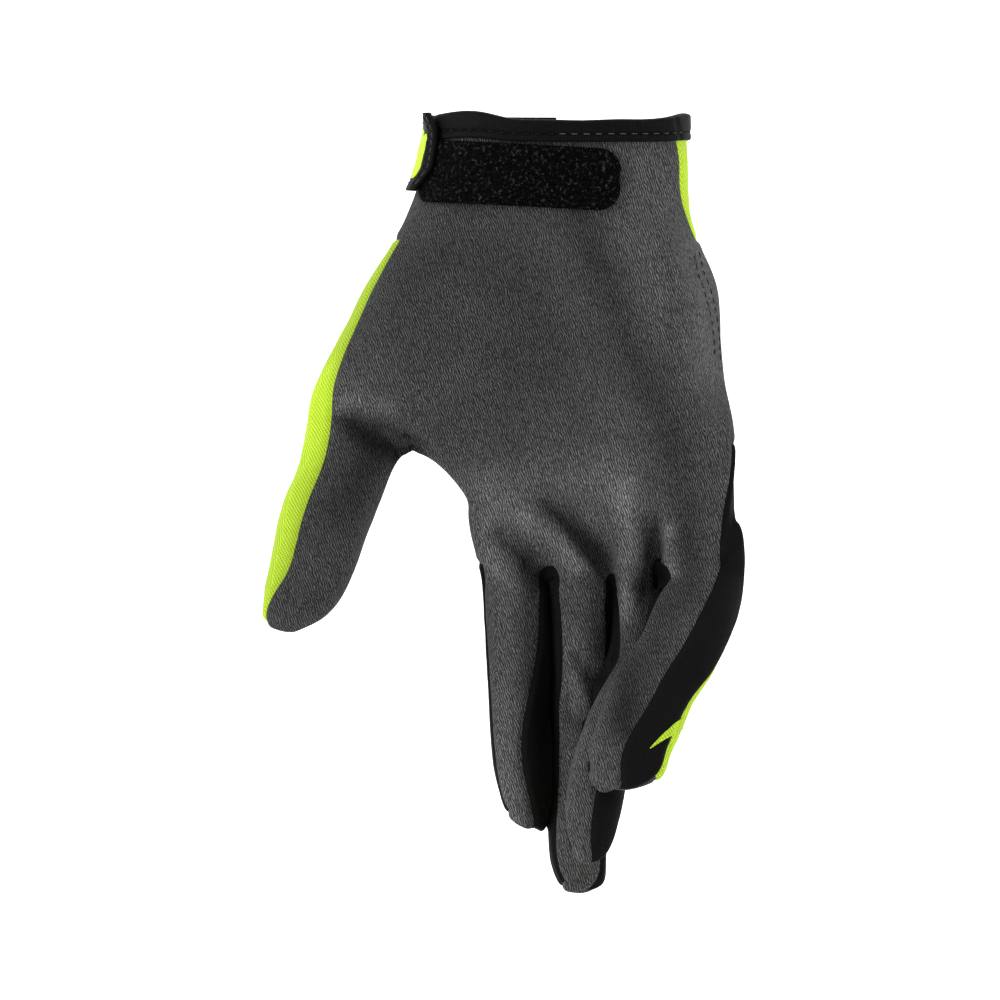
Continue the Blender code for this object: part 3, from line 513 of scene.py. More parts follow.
def part_of(section, first, last, right, left):
    """The ring of the columns first to last, with its own two edge points."""
    front, back = (section[side][first : last + 1] for side in ("front", "back"))
    return [*front, right, *reversed(back), left]


def tube_rings(shape, root):
    """The rings of eight points down a finger or the thumb, and its tip."""
    length, width, depth = shape["length"], shape["width"], shape["depth"]

    def place(along, sideways, forward):
        return Vector(root) + Vector((sideways * width, -forward * depth, -along * length))

    rows = shape["sections"]
    centres = [place(*row[:3]) for row in rows]
    tip = place(*shape["tip"])
    path = [place(0, 0, 0), *centres, tip]
    rings = []
    for i, row in enumerate(rows):
        heading = (path[i + 2] - path[i]).normalized()
        side = (Vector((1, 0, 0)) - heading * heading.x).normalized()
        front = heading.cross(side).normalized()
        if front.y > 0:
            front = -front
        wide, deep, front_thumb, front_little, back_little, back_thumb = row[3:]
        seams = (front_thumb, front_little, back_little, back_thumb - 360, front_thumb - 360)
        angles = []
        for angle, after in zip(seams, seams[1:]):
            angles += [angle, (angle + after) / 2]
        ring = []
        for degrees in angles:
            turn = math.radians(degrees)
            across = power(math.cos(turn), 2 / ROUNDNESS) * wide * width / 2
            out = power(math.sin(turn), 2 / ROUNDNESS) * deep * depth / 2
            ring.append(centres[i] + side * across + front * out)
        rings.append(ring)
    return rings, tip


def finger_columns():
    """Places of the front columns over the finger roots, as shares from the first to the last."""
    places = [0.0]
    for finger in FINGERS.values():
        root = finger["root"] * finger["width"]
        places += [places[-1] + root / 2, places[-1] + root]
    return places


def build_cage():
    cage = Cage()
    even = [i / FRONT_COLUMNS for i in range(FRONT_COLUMNS + 1)]
    sections = [Section(row, WRIST_WIDTH, WRIST_DEPTH) for row in CUFF_SECTIONS]
    sections += [Section(row, PALM_WIDTH, PALM_DEPTH) for row in PALM_SECTIONS]
    levels = [section.columns(even) for section in sections]
    raise_edge(levels[0])
    fork_row(levels[-1])
    rows = [cage.add_section(level) for level in levels]
    front, back = ["palm_panel"] * FRONT_COLUMNS, ["back_panel"] * FRONT_COLUMNS
    for number, (upper, lower) in enumerate(zip(rows, rows[1:])):
        # the suede wraps on round the wrist's thumb side, and below that round the heel's edge
        heel = thumb_side = ["back_panel"] * 2
        if number < HEEL_WRAPS_FROM:
            thumb_side = ["back_panel", "palm_panel"]
        else:
            heel = ["palm_panel", "back_panel"]
        cage.join(ring_of(upper), ring_of(lower), front + heel + back + thumb_side, "trunk")
    fork = rows[-1]
    between = [cage.points[fork[side][THUMB_COLUMNS]] for side in ("front", "back")]
    x, y, z = np.mean(between, axis=0)
    web = cage.add((x, y, z - THUMB_WEB_DROP * TRUNK_LENGTH))
    build_thumb(cage, fork, web)
    build_fingers(cage, fork, web)
    return cage


def raise_edge(level):
    """Gives the cuff's edge its wave: raised near the thumb and at the heel's corner."""
    places, rises = zip(*EDGE_RISES)

    def lifted(x, y, z):
        return (x, y, z + float(np.interp(x / WRIST_WIDTH, places, rises)) * EDGE_RISE)

    for side in ("front", "back"):
        level[side] = [lifted(*point) for point in level[side]]
    for side in ("left", "right"):
        level[side] = lifted(*level[side])


def fork_row(level):
    """Sets the row where the thumb leaves the palm: its crease climbs to the outer edge."""

    def at_height(point, share):
        drop = THUMB_FORK_DROP - THUMB_CREASE_RISE * share
        return (point[0], point[1], -drop * TRUNK_LENGTH)

    for side in ("front", "back"):
        row = level[side]
        for i, point in enumerate(row):
            row[i] = at_height(point, max(0.0, 1 - i / THUMB_COLUMNS))
        row[THUMB_COLUMNS] = (THUMB_FORK_ACROSS * PALM_WIDTH, *row[THUMB_COLUMNS][1:])
    level["left"] = at_height(level["left"], 1.0)
    level["right"] = at_height(level["right"], 0.0)


def build_thumb(cage, fork, web):
    ring = part_of(fork, 0, THUMB_COLUMNS, web, fork["left"])
    y = np.mean([cage.points[i][1] for i in ring])
    root = (THUMB_ROOT_ACROSS * PALM_WIDTH, y, -THUMB_FORK_DROP * TRUNK_LENGTH)
    panels = ["thumb_front"] * 4 + ["back_panel"] * 4
    # at its tip the thumb's suede is turned under
    cage.tube(ring, THUMB, root, panels, ["thumb_front"] * 3 + ["back_panel"], "thumb")


def build_fingers(cage, fork, web):
    places = finger_columns()
    upper = {side: fork[side][THUMB_COLUMNS:] for side in ("front", "back")}
    upper |= {"left": web, "right": fork["right"]}
    panels = ["palm_panel"] * 8 + ["little_side_gusset"] * 2 + ["back_panel"] * 9 + ["palm_panel"]
    for row, spread in zip(KNUCKLE_SECTIONS, KNUCKLE_SPREADS):
        section = Section(row, PALM_WIDTH, PALM_DEPTH)
        shares = [blend(i / 8, place / places[-1], spread) for i, place in enumerate(places)]
        lower = cage.add_section(section.columns(shares))
        cage.join(ring_of(upper), ring_of(lower), panels, "trunk")
        upper = lower
    root_row(cage, upper, panels, places)


def root_row(cage, upper, panels, places):
    """The row of the finger roots, then each finger below it."""
    left = ROOT_LEFT * PALM_WIDTH
    right = left + places[-1] + LITTLE_SIDE * FINGERS["little"]["width"]
    row = (1.0, left / PALM_WIDTH, right / PALM_WIDTH, ROOT_HALF, ROOT_MIDDLE, 0.0, ROOT_HEEL)
    section = Section((*row, *ROOT_SEAMS), PALM_WIDTH, PALM_DEPTH)
    drops = np.interp(range(9), range(0, 9, 2), ROOT_DROPS)
    front_left, front_right, back_right, back_left = ROOT_SEAMS
    first, last = (section.at_angle(angle)[0] for angle in (front_left, front_right))
    scale = (last - first) / places[-1]
    level = {"front": [], "back": []}
    for side, key, rise in ((-1, "front", 0.0), (1, "back", BACK_FORK_RISE)):
        for i, place in enumerate(places):
            x, y, _ = section.on_face(first + place * scale, side)
            if i in (2, 4, 6):
                y -= side * FORK_DIP
            level[key].append((x, y, -(drops[i] - rise) * TRUNK_LENGTH))
    for side, front_seam, back_seam, i in (
        ("left", front_left, back_left, 0),
        ("right", front_right, back_right, 8),
    ):
        for key, angle in (("front", front_seam), ("back", back_seam)):
            level[key][i] = (*section.at_angle(angle)[:2], level[key][i][2])
        edge = section.at_angle((front_seam + back_seam) / 2)
        level[side] = (*edge[:2], -ROOT_EDGE_DROPS[side] * TRUNK_LENGTH)
    lower = cage.add_section(level)
    cage.join(ring_of(upper), ring_of(lower), panels, "trunk")

    def both(i):
        return (np.array(cage.points[lower[key][i]]) for key in ("front", "back"))

    forks = []
    for i in (2, 4, 6):
        front, back = both(i)
        x, y, _ = blend(front, back, 0.5)
        forks.append(cage.add((x, y, front[2] - WEB_DROP * TRUNK_LENGTH)))
    edges = [lower["left"], *forks, lower["right"]]
    sides = ["index_side_gusset", "fourchette_index_middle", "fourchette_middle_ring"]
    sides += ["fourchette_ring_little", "little_side_gusset"]
    for number, (limb, shape) in enumerate(FINGERS.items()):
        start = 2 * number
        ring = part_of(lower, start, start + 2, edges[number + 1], edges[number])
        front, back = both(start + 1)
        root = (front[0], (front[1] + back[1]) / 2, -max(drops[start : start + 3]) * TRUNK_LENGTH)
        names = ["palm_panel", sides[number + 1], "back_panel", sides[number]]
        # at the tip the suede is turned under
        ends = names[:2] + ["palm_panel"] * 2
        cage.tube(ring, shape, root, [name for name in names for _ in (0, 1)], ends, limb)


def read(items, name, columns, kind=np.float32):
    """A value of every item of a mesh, in rows of so many columns."""
    count = len(items) if name == "vertex_index" else len(items) * columns
    values = np.empty(count, kind)
    items.foreach_get(name, values)
    return values.reshape(-1, columns)


def smooth(points, cage, level):
    """The cage's smooth surface: points, quads, and the quads' corners in the weave."""
    mesh = bpy.data.meshes.new("cage")
    mesh.from_pydata([tuple(p) for p in points], [], cage.faces)
    layer = mesh.uv_layers.new(name="weave")
    layer.uv.foreach_set("vector", np.array(cage.weave, np.float32).ravel())
    thing = bpy.data.objects.new("cage", mesh)
    bpy.context.collection.objects.link(thing)
    modifier = thing.modifiers.new("smooth", "SUBSURF")
    modifier.levels = modifier.render_levels = level
    depsgraph = bpy.context.evaluated_depsgraph_get()
    depsgraph.update()
    done = thing.evaluated_get(depsgraph)
    made = done.to_mesh()
    places = read(made.vertices, "co", 3).astype(float)
    quads = read(made.loops, "vertex_index", 4, np.int32)
    weave = read(made.uv_layers["weave"].uv, "vector", 2).reshape(-1, 4, 2)
    done.to_mesh_clear()
    bpy.data.objects.remove(thing)
    bpy.data.meshes.remove(mesh)
    return places, quads, weave


def fitted(cage):
    """Moves the cage's points until its smooth surface passes through the places asked for."""
    wanted = np.array([tuple(p) for p in cage.points])
    points = wanted.copy()
    for _ in range(FIT_ROUNDS):
        got, _, _ = smooth(points, cage, FIT_LEVEL)
        points += (wanted - got[: len(wanted)]) * FIT_STEP
    return points


def normals_of(places, quads):
    a, b, c, d = (places[quads[:, k]] for k in range(4))
    facing = np.cross(c - a, d - b)
    total = np.zeros_like(places)
    for k in range(4):
        np.add.at(total, quads[:, k], facing)
    return total / np.linalg.norm(total, axis=1)[:, None]


# Folds of the palm side's cloth, in millimetres: each runs along a line of points (x, z) seen from
# the palm, on the named parts of the hand. A rise above 0 is a ridge, below 0 a valley.
ROOTS = ("trunk", "index", "middle", "ring", "little")
FOLDS = [
    # limbs, rise, half width, line
    (ROOTS, -2.6, 2.8, [(-18.0, -109), (-11.0, -116), (-4.5, -121.5)]),
    (ROOTS, 1.0, 1.6, [(-18.0, -118), (-13.0, -123), (-7.0, -128)]),
    (ROOTS, 2.2, 2.8, [(-12.0, -102), (-1.0, -114), (6.0, -121), (11.4, -126)]),
    (ROOTS, -2.8, 3.0, [(-4.3, -101), (6.0, -111), (12.2, -117), (14.5, -121)]),
    (ROOTS, 1.6, 3.4, [(16.0, -94), (19.5, -107), (19.0, -115), (17.8, -126)]),
    (ROOTS, -1.3, 2.2, [(27.0, -103), (26.3, -112), (25.2, -120), (22.5, -129)]),
    (ROOTS, 1.2, 2.2, [(31.5, -106), (30.6, -114), (31.6, -122)]),
    (ROOTS, -1.2, 5.5, [(31.0, -88), (34.0, -98)]),
    (("trunk",), -1.3, 4.6, [(10, -32), (16, -52), (22, -69), (29, -83), (31, -97)]),
    (("trunk", "thumb"), -2.2, 1.9, [(-57.0, -80), (-49.0, -85), (-43.0, -90)]),
    (("trunk", "thumb"), 1.0, 1.0, [(-55.5, -80), (-45.5, -88)]),
    (("trunk", "thumb"), -2.2, 2.0, [(-50.0, -80.5), (-41.5, -84.3), (-33.5, -89.0)]),
    (("trunk",), 1.2, 3.0, [(-58.5, -75), (-53.0, -78)]),
    (("middle",), -1.6, 1.9, [(3.8, -143), (9.2, -147.5), (13.0, -153)]),
    (("middle",), 1.3, 1.6, [(3.8, -148), (6.5, -153), (9.2, -159)]),
    (("middle",), -1.1, 1.6, [(2.2, -153), (3.8, -160), (8.7, -163.5)]),
    (("ring",), 1.2, 1.3, [(16.5, -148), (13.0, -160), (12.5, -172)]),
]
# How a fold fades toward its two ends, as shares of its length
FOLD_FADE = (-0.08, 0.22)
# The hollow along its foot: a share of its rise, how far off and how wide in half widths of it
FOOT_DEPTH, FOOT_AWAY, FOOT_WIDTH = 0.22, 2.0, 0.8
FOLD_FACING = 0.35  # from there on the surface faces the palm's side fully
# Broad unevenness of worn cloth: the size of its blotches and how far they rise, in millimetres
UNEVEN = [(14.0, 0.30), (5.0, 0.10)]
# How far from each other two fingers' sides still swell until they nearly touch, in millimetres
CLOSING = 8.0
CLOSING_FADE = 3.0
CLOSING_ROUNDS = 4
CLOSING_EVENED = 6  # rounds of evening the swelling out
CLOSING_OFF = 0.1  # how far off the cloth the search for the other finger starts
CLOSING_FACING = -0.45  # not where the surface faces the palm more than this
CLOSING_SHARE = 0.9
STAYS_OPEN = 0.15


def beside_line(flat, line):
    """How far each point lies from a line of points, and its share of the way along it."""
    steps = np.linalg.norm(np.diff(line, axis=0), axis=1)
    best = np.full(len(flat), np.inf)
    along = np.zeros(len(flat))
    walked = 0.0
    for start, end, step in zip(line, line[1:], steps):
        share = np.clip((flat - start) @ (end - start) / step**2, 0, 1)
        away = np.linalg.norm(flat - start - share[:, None] * (end - start), axis=1)
        nearer = away < best
        best[nearer] = away[nearer]
        along[nearer] = (walked + share[nearer] * step) / steps.sum()
        walked += step
    return best, along


def press_creases(places, normals):
    for side, across, drop, across_end, drop_end, half_width, depth in CREASES:
        ends = np.array([(across, -drop), (across_end, -drop_end)]) * (PALM_WIDTH, TRUNK_LENGTH)
        away, _ = beside_line(places[:, [0, 2]], ends)
        fall = np.exp(-((away / (half_width * PALM_DEPTH)) ** 2))
        fall *= normals[:, 1] * side > CREASE_FACING
        places = places - normals * (fall * depth * PALM_DEPTH)[:, None]
    return places


def fold_rise(flat, facing, on_limb):
    """How far the folds raise each point, in metres. flat holds (x, z) in millimetres."""
    total = np.zeros(len(flat))
    for limbs, rise, half_width, line in FOLDS:
        away, along = beside_line(flat, np.array(line, float))
        far = away / half_width
        foot = np.exp(-(((far - FOOT_AWAY) / FOOT_WIDTH) ** 2))
        shape = np.exp(-far * far) - FOOT_DEPTH * foot
        fade = ramp(along, *FOLD_FADE) * ramp(1 - along, *FOLD_FADE) * on_limb(limbs)
        total += rise * MM * shape * fade * ramp(-facing, 0.0, FOLD_FACING)
    return total


def unevenness(places):
    total = np.zeros(len(places))
    for size, rise in UNEVEN:
        total += [rise * MM * noise.noise(Vector(p) / (size * MM)) for p in places]
    return total


def spread_out(values, quads, rounds):
    """Evens values out over neighbouring points."""
    pairs = np.concatenate([quads[:, [k, (k + 1) % 4]] for k in range(4)])
    counts = np.bincount(pairs[:, 0], minlength=len(values))
    for _ in range(rounds):
        sums = np.bincount(pairs[:, 0], weights=values[pairs[:, 1]], minlength=len(values))
        values = (values + sums / counts) / 2
    return values


def solid_surface(places, quads):
    return BVHTree.FromPolygons([Vector(p) for p in places], [tuple(q) for q in quads])


def finger_closing(places, normals, quads, fingers):
    """How far the fingers' sides swell toward each other, in metres."""
    surface = solid_surface(places, quads)
    swell = np.zeros(len(places))
    for i in np.flatnonzero(fingers & (normals[:, 1] > CLOSING_FACING)):
        out = Vector(normals[i])
        start = Vector(places[i]) + out * CLOSING_OFF * MM
        hit, facing, _, far = surface.ray_cast(start, out, CLOSING * MM)
        if hit is not None and facing.dot(out) < 0:
            close = ramp(CLOSING * MM - far, 0, CLOSING_FADE * MM)
            close = float(close * ramp(normals[i, 1], CLOSING_FACING, 0.0))
            swell[i] = max(0.0, far - STAYS_OPEN * MM) / 2 * close
    return spread_out(swell, quads, CLOSING_EVENED) * CLOSING_SHARE


class Cloth:
    """The finished surface at one level of detail, with what each quad belongs to."""

    def __init__(self, cage, points, level):
        self.places, self.quads, self.weave = smooth(points, cage, level)
        each = len(self.quads) // len(cage.faces)
        self.panels = np.repeat(cage.panels, each)
        limbs = np.repeat(cage.limbs, each)
        self.limb_of = {}
        for limb in set(cage.limbs):
            of = np.zeros(len(self.places), bool)
            of[self.quads[limbs == limb]] = True
            self.limb_of[limb] = of
        self.press(normals_of(self.places, self.quads))
        self.normals = normals_of(self.places, self.quads)

    def on_limb(self, limbs):
        return np.any([self.limb_of[limb] for limb in limbs], axis=0)

    def press(self, normals):
        self.places = press_creases(self.places, normals)
        normals = normals_of(self.places, self.quads)
        rise = fold_rise(self.places[:, [0, 2]] / MM, normals[:, 1], self.on_limb)
        rise += unevenness(self.places)
        self.places = self.places + normals * rise[:, None]
        for _ in range(CLOSING_ROUNDS):
            normals = normals_of(self.places, self.quads)
            swell = finger_closing(self.places, normals, self.quads, self.on_limb(FINGERS))
            self.places = self.places + normals * swell[:, None]


cage = build_cage()
cage_points = fitted(cage)
cloth = Cloth(cage, cage_points, SMOOTH_LEVEL)
lining = Cloth(cage, cage_points, LINING_LEVEL)


# ---- Palm panel and thumb front ----
# Synthetic suede: microfibre cloth, embossed with a fine wavy grain and napped. One piece covers
# the palm and the fronts of the four fingers, and a second, sewn on at the crease, the thumb's.

SUEDE_WALL = 0.0012
SEAM_GAP = 0.0001
# The grain, in millimetres: from one ridge to the next, and from one bend of a ridge to the next
RIDGE, RIDGE_BEND = 0.66, 1.6
RIDGE_TURN = 11.0  # how far a bend turns it, in radians
RIDGE_CLIMB = 0.35  # how steeply the ridges climb
SPECKLE, WORN, SOFT = 0.9, 11, 4.0  # sizes of finer and of broader unevenness, in millimetres
WRINKLE, WRINKLE_WIDTH = 2.6, 0.035  # millimetres, and a share of the noise's height
WRINKLE_RUN = (0.16, 0.16, 1.0)  # how it is drawn out sideways
# How the cloth turns down into its seams, in millimetres
SEAM_SINK = 0.40
SEAM_REACH = 1.3
SEAM_PUFF, PUFF_AWAY, PUFF_WIDTH = 0.10, 1.9, 0.7
SHARP_ANGLE = math.radians(60)
# The wrinkled place at the palm's heel, in millimetres
WRINKLED_AT = (34.0, -10.0, -44.0)
WRINKLED_REACH = 24.0
WRINKLED_CORE = 6.0  # within which it is wrinkled fully
EDGE_FACING = (0.66, 0.8)  # where a surface turns from a front into an edge


def sideways(tree):
    """How much the cloth faces to the side: 0 for a front or a back, 1 for an edge."""
    facing = add(tree, "SeparateXYZ", {0: add(tree, "NewGeometry").outputs["Normal"]}).outputs["X"]
    facing = add(tree, "Math", {0: facing}, operation="ABSOLUTE")
    span = {0: facing, 1: EDGE_FACING[0], 2: EDGE_FACING[1]}
    return add(tree, "MapRange", span, interpolation_type="SMOOTHSTEP")


def suede_finish():
    """Short wavy ridges on a darker ground; matt, and paler where the nap turns away."""
    made, tree, place = material("microfibre_suede_napped")
    bends = add(tree, "TexNoise", {"Vector": place, "Scale": 1 / RIDGE_BEND, "Detail": 1.0})
    waves = []
    for across in ((1.0, 0, RIDGE_CLIMB), (0, 1.0, RIDGE_CLIMB)):  # over the front, and the edges
        turns = [share * math.tau / RIDGE for share in across]
        lean = add(tree, "VectorMath", {0: place, 1: turns}, operation="DOT_PRODUCT")
        lean = lean.outputs["Value"]
        phase = add(tree, "Math", {0: bends, 1: RIDGE_TURN, 2: lean}, operation="MULTIPLY_ADD")
        waves.append(add(tree, "Math", {0: phase}, operation="SINE"))
    wave = add(tree, "Mix", {0: sideways(tree), 2: waves[0], 3: waves[1]})
    ridges = add(tree, "MapRange", {0: wave, 1: -1.0, 2: 1.0})
    speckle = add(tree, "TexNoise", {"Vector": place, "Scale": 1 / SPECKLE, "Detail": 1.0})
    uneven = add(tree, "MapRange", {0: speckle, 1: 0.3, 2: 0.7, 3: 0.4, 4: 1.1})
    broken = add(tree, "Math", {0: ridges, 1: uneven}, operation="MULTIPLY")
    grain = add(tree, "MapRange", {0: broken, 1: 0.1, 2: 0.9}, interpolation_type="SMOOTHSTEP")

    cloudy = add(tree, "TexNoise", {"Vector": place, "Scale": 1 / WORN, "Detail": 3.0})
    worn = add(tree, "MapRange", {0: cloudy, 1: 0.32, 2: 0.68})
    valley, top, rubbed = linear("#262626"), linear("#5a5a5a"), linear("#646464")
    tops = add(tree, "Mix", {0: worn, 6: top, 7: rubbed}, data_type="RGBA")
    colour = add(tree, "Mix", {0: grain, 6: valley, 7: tops}, data_type="RGBA")
    # painted light and shade: the colour is made paler or darker by the shade stored at each point
    nap = add(tree, "Attribute", attribute_name="nap").outputs["Fac"]
    colour = add(tree, "VectorMath", {0: colour, "Scale": nap}, operation="SCALE")

    # level wrinkles: the places where a noise drawn out sideways crosses its middle
    long = add(tree, "VectorMath", {0: place, 1: WRINKLE_RUN}, operation="MULTIPLY")
    strand = {"Vector": long, "Scale": 1 / WRINKLE, "Detail": 2.0, "Distortion": 0.5}
    off = add(tree, "Math", {0: add(tree, "TexNoise", strand), 1: 0.5}, operation="SUBTRACT")
    apart = add(tree, "Math", {0: off}, operation="ABSOLUTE")
    span = {0: apart, 1: 0.0, 2: WRINKLE_WIDTH, 3: 1.0, 4: 0.0}
    line = add(tree, "MapRange", span, interpolation_type="SMOOTHSTEP")
    far = add(tree, "VectorMath", {0: place, 1: WRINKLED_AT}, operation="DISTANCE")
    span = {0: far, 1: WRINKLED_REACH, 2: WRINKLED_CORE}
    near = add(tree, "MapRange", span, interpolation_type="SMOOTHSTEP")
    wrinkle = add(tree, "Math", {0: line, 1: near}, operation="MULTIPLY")
    # painted shade in the creases: along the wrinkles' lines the colour is darkened toward the
    # valley colour
    painted_crease_shade = add(tree, "Math", {0: wrinkle, 1: 0.45}, operation="MULTIPLY")
    colour = add(tree, "Mix", {0: painted_crease_shade, 6: colour, 7: valley}, data_type="RGBA")

    soft = add(tree, "TexNoise", {"Vector": place, "Scale": 1 / SOFT, "Detail": 3.0})
    bumps = [(grain, 0.16, 0.9), (soft, 0.4, 0.6), (wrinkle, -0.25, 0.8)]
    sheen = {"Sheen_Weight": 0.12, "Sheen_Roughness": 0.4, "Sheen_Tint": linear("#a8a8a8")}
    return surface_of(made, colour, 0.9, 0.08, bumps, **sheen)


def seam_points(cloth):
    """The points where two panels meet."""
    owner = {}
    seams = set()
    for quad, name in zip(cloth.quads, cloth.panels):
        for i in quad:
            if owner.setdefault(i, name) != name:
                seams.add(i)
    return seams


def roll_seams(cloth):
    """Sinks the cloth into its seams, with a faint swelling beside them."""
    found = seam_points(cloth)
    tree = kdtree.KDTree(len(found))
    for i in found:
        tree.insert(Vector(cloth.places[i]), 0)
    tree.balance()
    far = np.array([tree.find(Vector(p))[2] for p in cloth.places]) / MM
    sink = -SEAM_SINK * (1 - ramp(far, 0, SEAM_REACH))
    puff = SEAM_PUFF * np.exp(-(((far - PUFF_AWAY) / PUFF_WIDTH) ** 2))
    cloth.places = cloth.places + cloth.normals * ((sink + puff) * MM)[:, None]
    cloth.normals = normals_of(cloth.places, cloth.quads)


def draw_in(cloth, quads, seams, gap):
    """The panel's points, with those on its edge moved inward by gap."""
    edge_of = {}
    for quad in quads:
        for a, b in zip(quad, np.roll(quad, -1)):
            edge_of[a, b] = quad
    inward = {}
    for a, b in seams:
        along = cloth.places[b] - cloth.places[a]
        along /= np.linalg.norm(along)
        middle = cloth.places[edge_of[a, b]].mean(axis=0) - cloth.places[a]
        into = middle - along * (middle @ along)
        for i in (a, b):
            inward[i] = inward.get(i, 0) + into / np.linalg.norm(into)
    moved = cloth.places.copy()
    for i, into in inward.items():
        into = into - cloth.normals[i] * (into @ cloth.normals[i])
        moved[i] += into / max(np.linalg.norm(into), 1e-9) * gap
    return moved


def seam_edges(quads):
    """The edges that only one of the quads has, in that quad's direction."""
    ends = np.concatenate([quads[:, [k, (k + 1) % 4]] for k in range(4)])
    known = set(map(tuple, ends))
    return [(a, b) for a, b in map(tuple, ends) if (b, a) not in known]


def add_piece(name, mesh, finish, slot, *nodes):
    """Adds a piece of the glove, in place of the solids of the names that follow."""
    mesh.shade_smooth()
    mesh.set_sharp_from_angle(angle=SHARP_ANGLE)
    mesh.materials.append(finish)
    thing = bpy.data.objects.new(name, mesh)
    bpy.context.collection.objects.link(thing)
    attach(thing, "root")
    if nodes:
        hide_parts(*nodes)


def panel(name, finish, wall, slot):
    """One panel of cloth with its rim and its lining, in place of the solid of that name."""
    quads = cloth.quads[cloth.panels == name]
    seams = seam_edges(quads)
    outer = draw_in(cloth, quads, seams, SEAM_GAP / 2)
    used, corners = np.unique(quads, return_inverse=True)
    number = {i: k for k, i in enumerate(used)}
    points = [outer[used]]
    faces = corners.reshape(-1, 4).tolist()
    weave = [cloth.weave[cloth.panels == name].reshape(-1, 2)]

    rim = sorted({i for pair in seams for i in pair})
    points.append(outer[rim] - cloth.normals[rim] * wall)
    below = {i: len(used) + k for k, i in enumerate(rim)}
    faces += [[number[b], number[a], below[a], below[b]] for a, b in seams]
    weave.append(np.zeros((4 * len(seams), 2)))

    quads = lining.quads[lining.panels == name]
    inner = draw_in(lining, quads, seam_edges(quads), SEAM_GAP)
    used, corners = np.unique(quads, return_inverse=True)
    start = sum(map(len, points))
    points.append(inner[used] - lining.normals[used] * wall)
    faces += (start + corners.reshape(-1, 4)[:, ::-1]).tolist()
    weave.append(lining.weave[lining.panels == name][:, ::-1].reshape(-1, 2))

    mesh = bpy.data.meshes.new(name)
    mesh.from_pydata(np.concatenate(points).tolist(), [], faces)
    layer = mesh.uv_layers.new(name="weave")
    layer.uv.foreach_set("vector", np.concatenate(weave).astype(np.float32).ravel())
    paint_shading(mesh)
    add_piece(f"{name}_cloth", mesh, finish, slot, name)


# Painted light and shade in the cloth's colour: paler where light would fall, as on the fold
# ridges, the pads and the heel, and darker where shade would fall, as in the hollow of the palm,
# the fold valleys and on the thumb. Each runs along a line of places (x, z), with how far it
# reaches to the sides, in millimetres, and how much paler or darker it is.
PAINTED_SHADING = [
    ([(-24, -24), (-4, -60)], 17, -0.27),  # hollow of the palm
    ([(6, -26), (17, -50), (29, -80), (34, -96), (36, -125)], 5.5, -0.42),
    ([(-42, -38), (-56, -62)], 9, -0.24),
    ([(38, -34), (40, -66)], 6, 0.42),  # heel
    ([(25, -10), (26, -50)], 8, 0.22),
    ([(-57, -75.5), (-46, -76.5)], 3.0, 0.60),  # thumb's root
    ([(-56, -80.5), (-49, -84.5), (-41, -88.5)], 4.0, -0.55),
    ([(-53, -86), (-46, -91)], 5, -0.30),
    ([(-52, -92), (-57, -104)], 6, -0.36),
    ([(-62, -98), (-72, -124)], 12, -0.28),  # thumb
    ([(-21, -98), (-18, -118)], 6, 0.75),  # pads below the fingers
    ([(-12, -100), (12, -94)], 8, 0.34),
    ([(11, -100), (12, -106)], 5, 0.30),
    ([(-9, -106), (-1, -111), (5, -119)], 3.0, 0.85),  # ridges of the folds
    ([(18, -98), (20, -112), (17.5, -132)], 3.2, 0.80),
    ([(30.2, -110), (30.6, -121)], 2.0, 0.85),
    ([(-16.5, -111), (-11, -116), (-5, -121)], 2.6, -0.50),  # valleys of the folds
    ([(-4.3, -103), (6, -111), (12.7, -117), (15.2, -122)], 2.8, -0.55),
    ([(26.0, -110), (25.2, -119), (22.5, -129)], 1.7, -0.40),
    ([(-14, -122), (-13, -185)], 4, 0.30),  # index finger
    ([(-7.5, -124), (-8, -152)], 3, -0.35),
    ([(4.5, -138), (4.5, -156)], 3, 0.35),  # middle finger
    ([(17, -146), (17.5, -164)], 4, -0.28),  # ring finger
    ([(28, -132), (18, -160)], 7, -0.45),  # little finger
    ([(-48, -52), (-40, -34)], 16, -0.16),  # inner side, towards the thumb
]


def paint_shading(mesh):
    """Stores the painted light and shade at each point: how much paler or darker its colour is."""
    layer = mesh.attributes.new("nap", "FLOAT", "POINT")
    flat = read(mesh.vertices, "co", 3)[:, [0, 2]] / MM
    shade = np.ones(len(flat))
    for line, reach, change in PAINTED_SHADING:
        far = beside_line(flat, np.array(line, float))[0] / reach
        shade += change * np.exp(-far * far)
    layer.data.foreach_set("value", shade.astype(np.float32))


roll_seams(cloth)
SUEDE = suede_finish()
panel("palm_panel", SUEDE, SUEDE_WALL, "suede")
panel("thumb_front", SUEDE, SUEDE_WALL, "suede")


# ---- Back panel ----
# Polyester twill knit, dyed fluorescent yellow: the back of the hand, of the thumb and of the
# fingers, cut with the side strips of the cuff and of the thumb in one piece.

KNIT_WALL = 0.0012
RIB_PITCH = 0.75  # millimetres between the slanted ribs
LOOP_PITCH = 0.62
# How far its ribs wander and over what distance, and the sizes of its broader unevenness
KNIT_BEND, KNIT_WANDER, KNIT_FADE, KNIT_SOFT = 0.7, 3.0, 16, 6.0
# Each wave of the knit: how it runs sideways and down, its pitch, and how low its valleys are
KNIT_WAVES = ((0.87, 0.5, RIB_PITCH, 0.0), (-0.5, 0.87, LOOP_PITCH, 0.25))


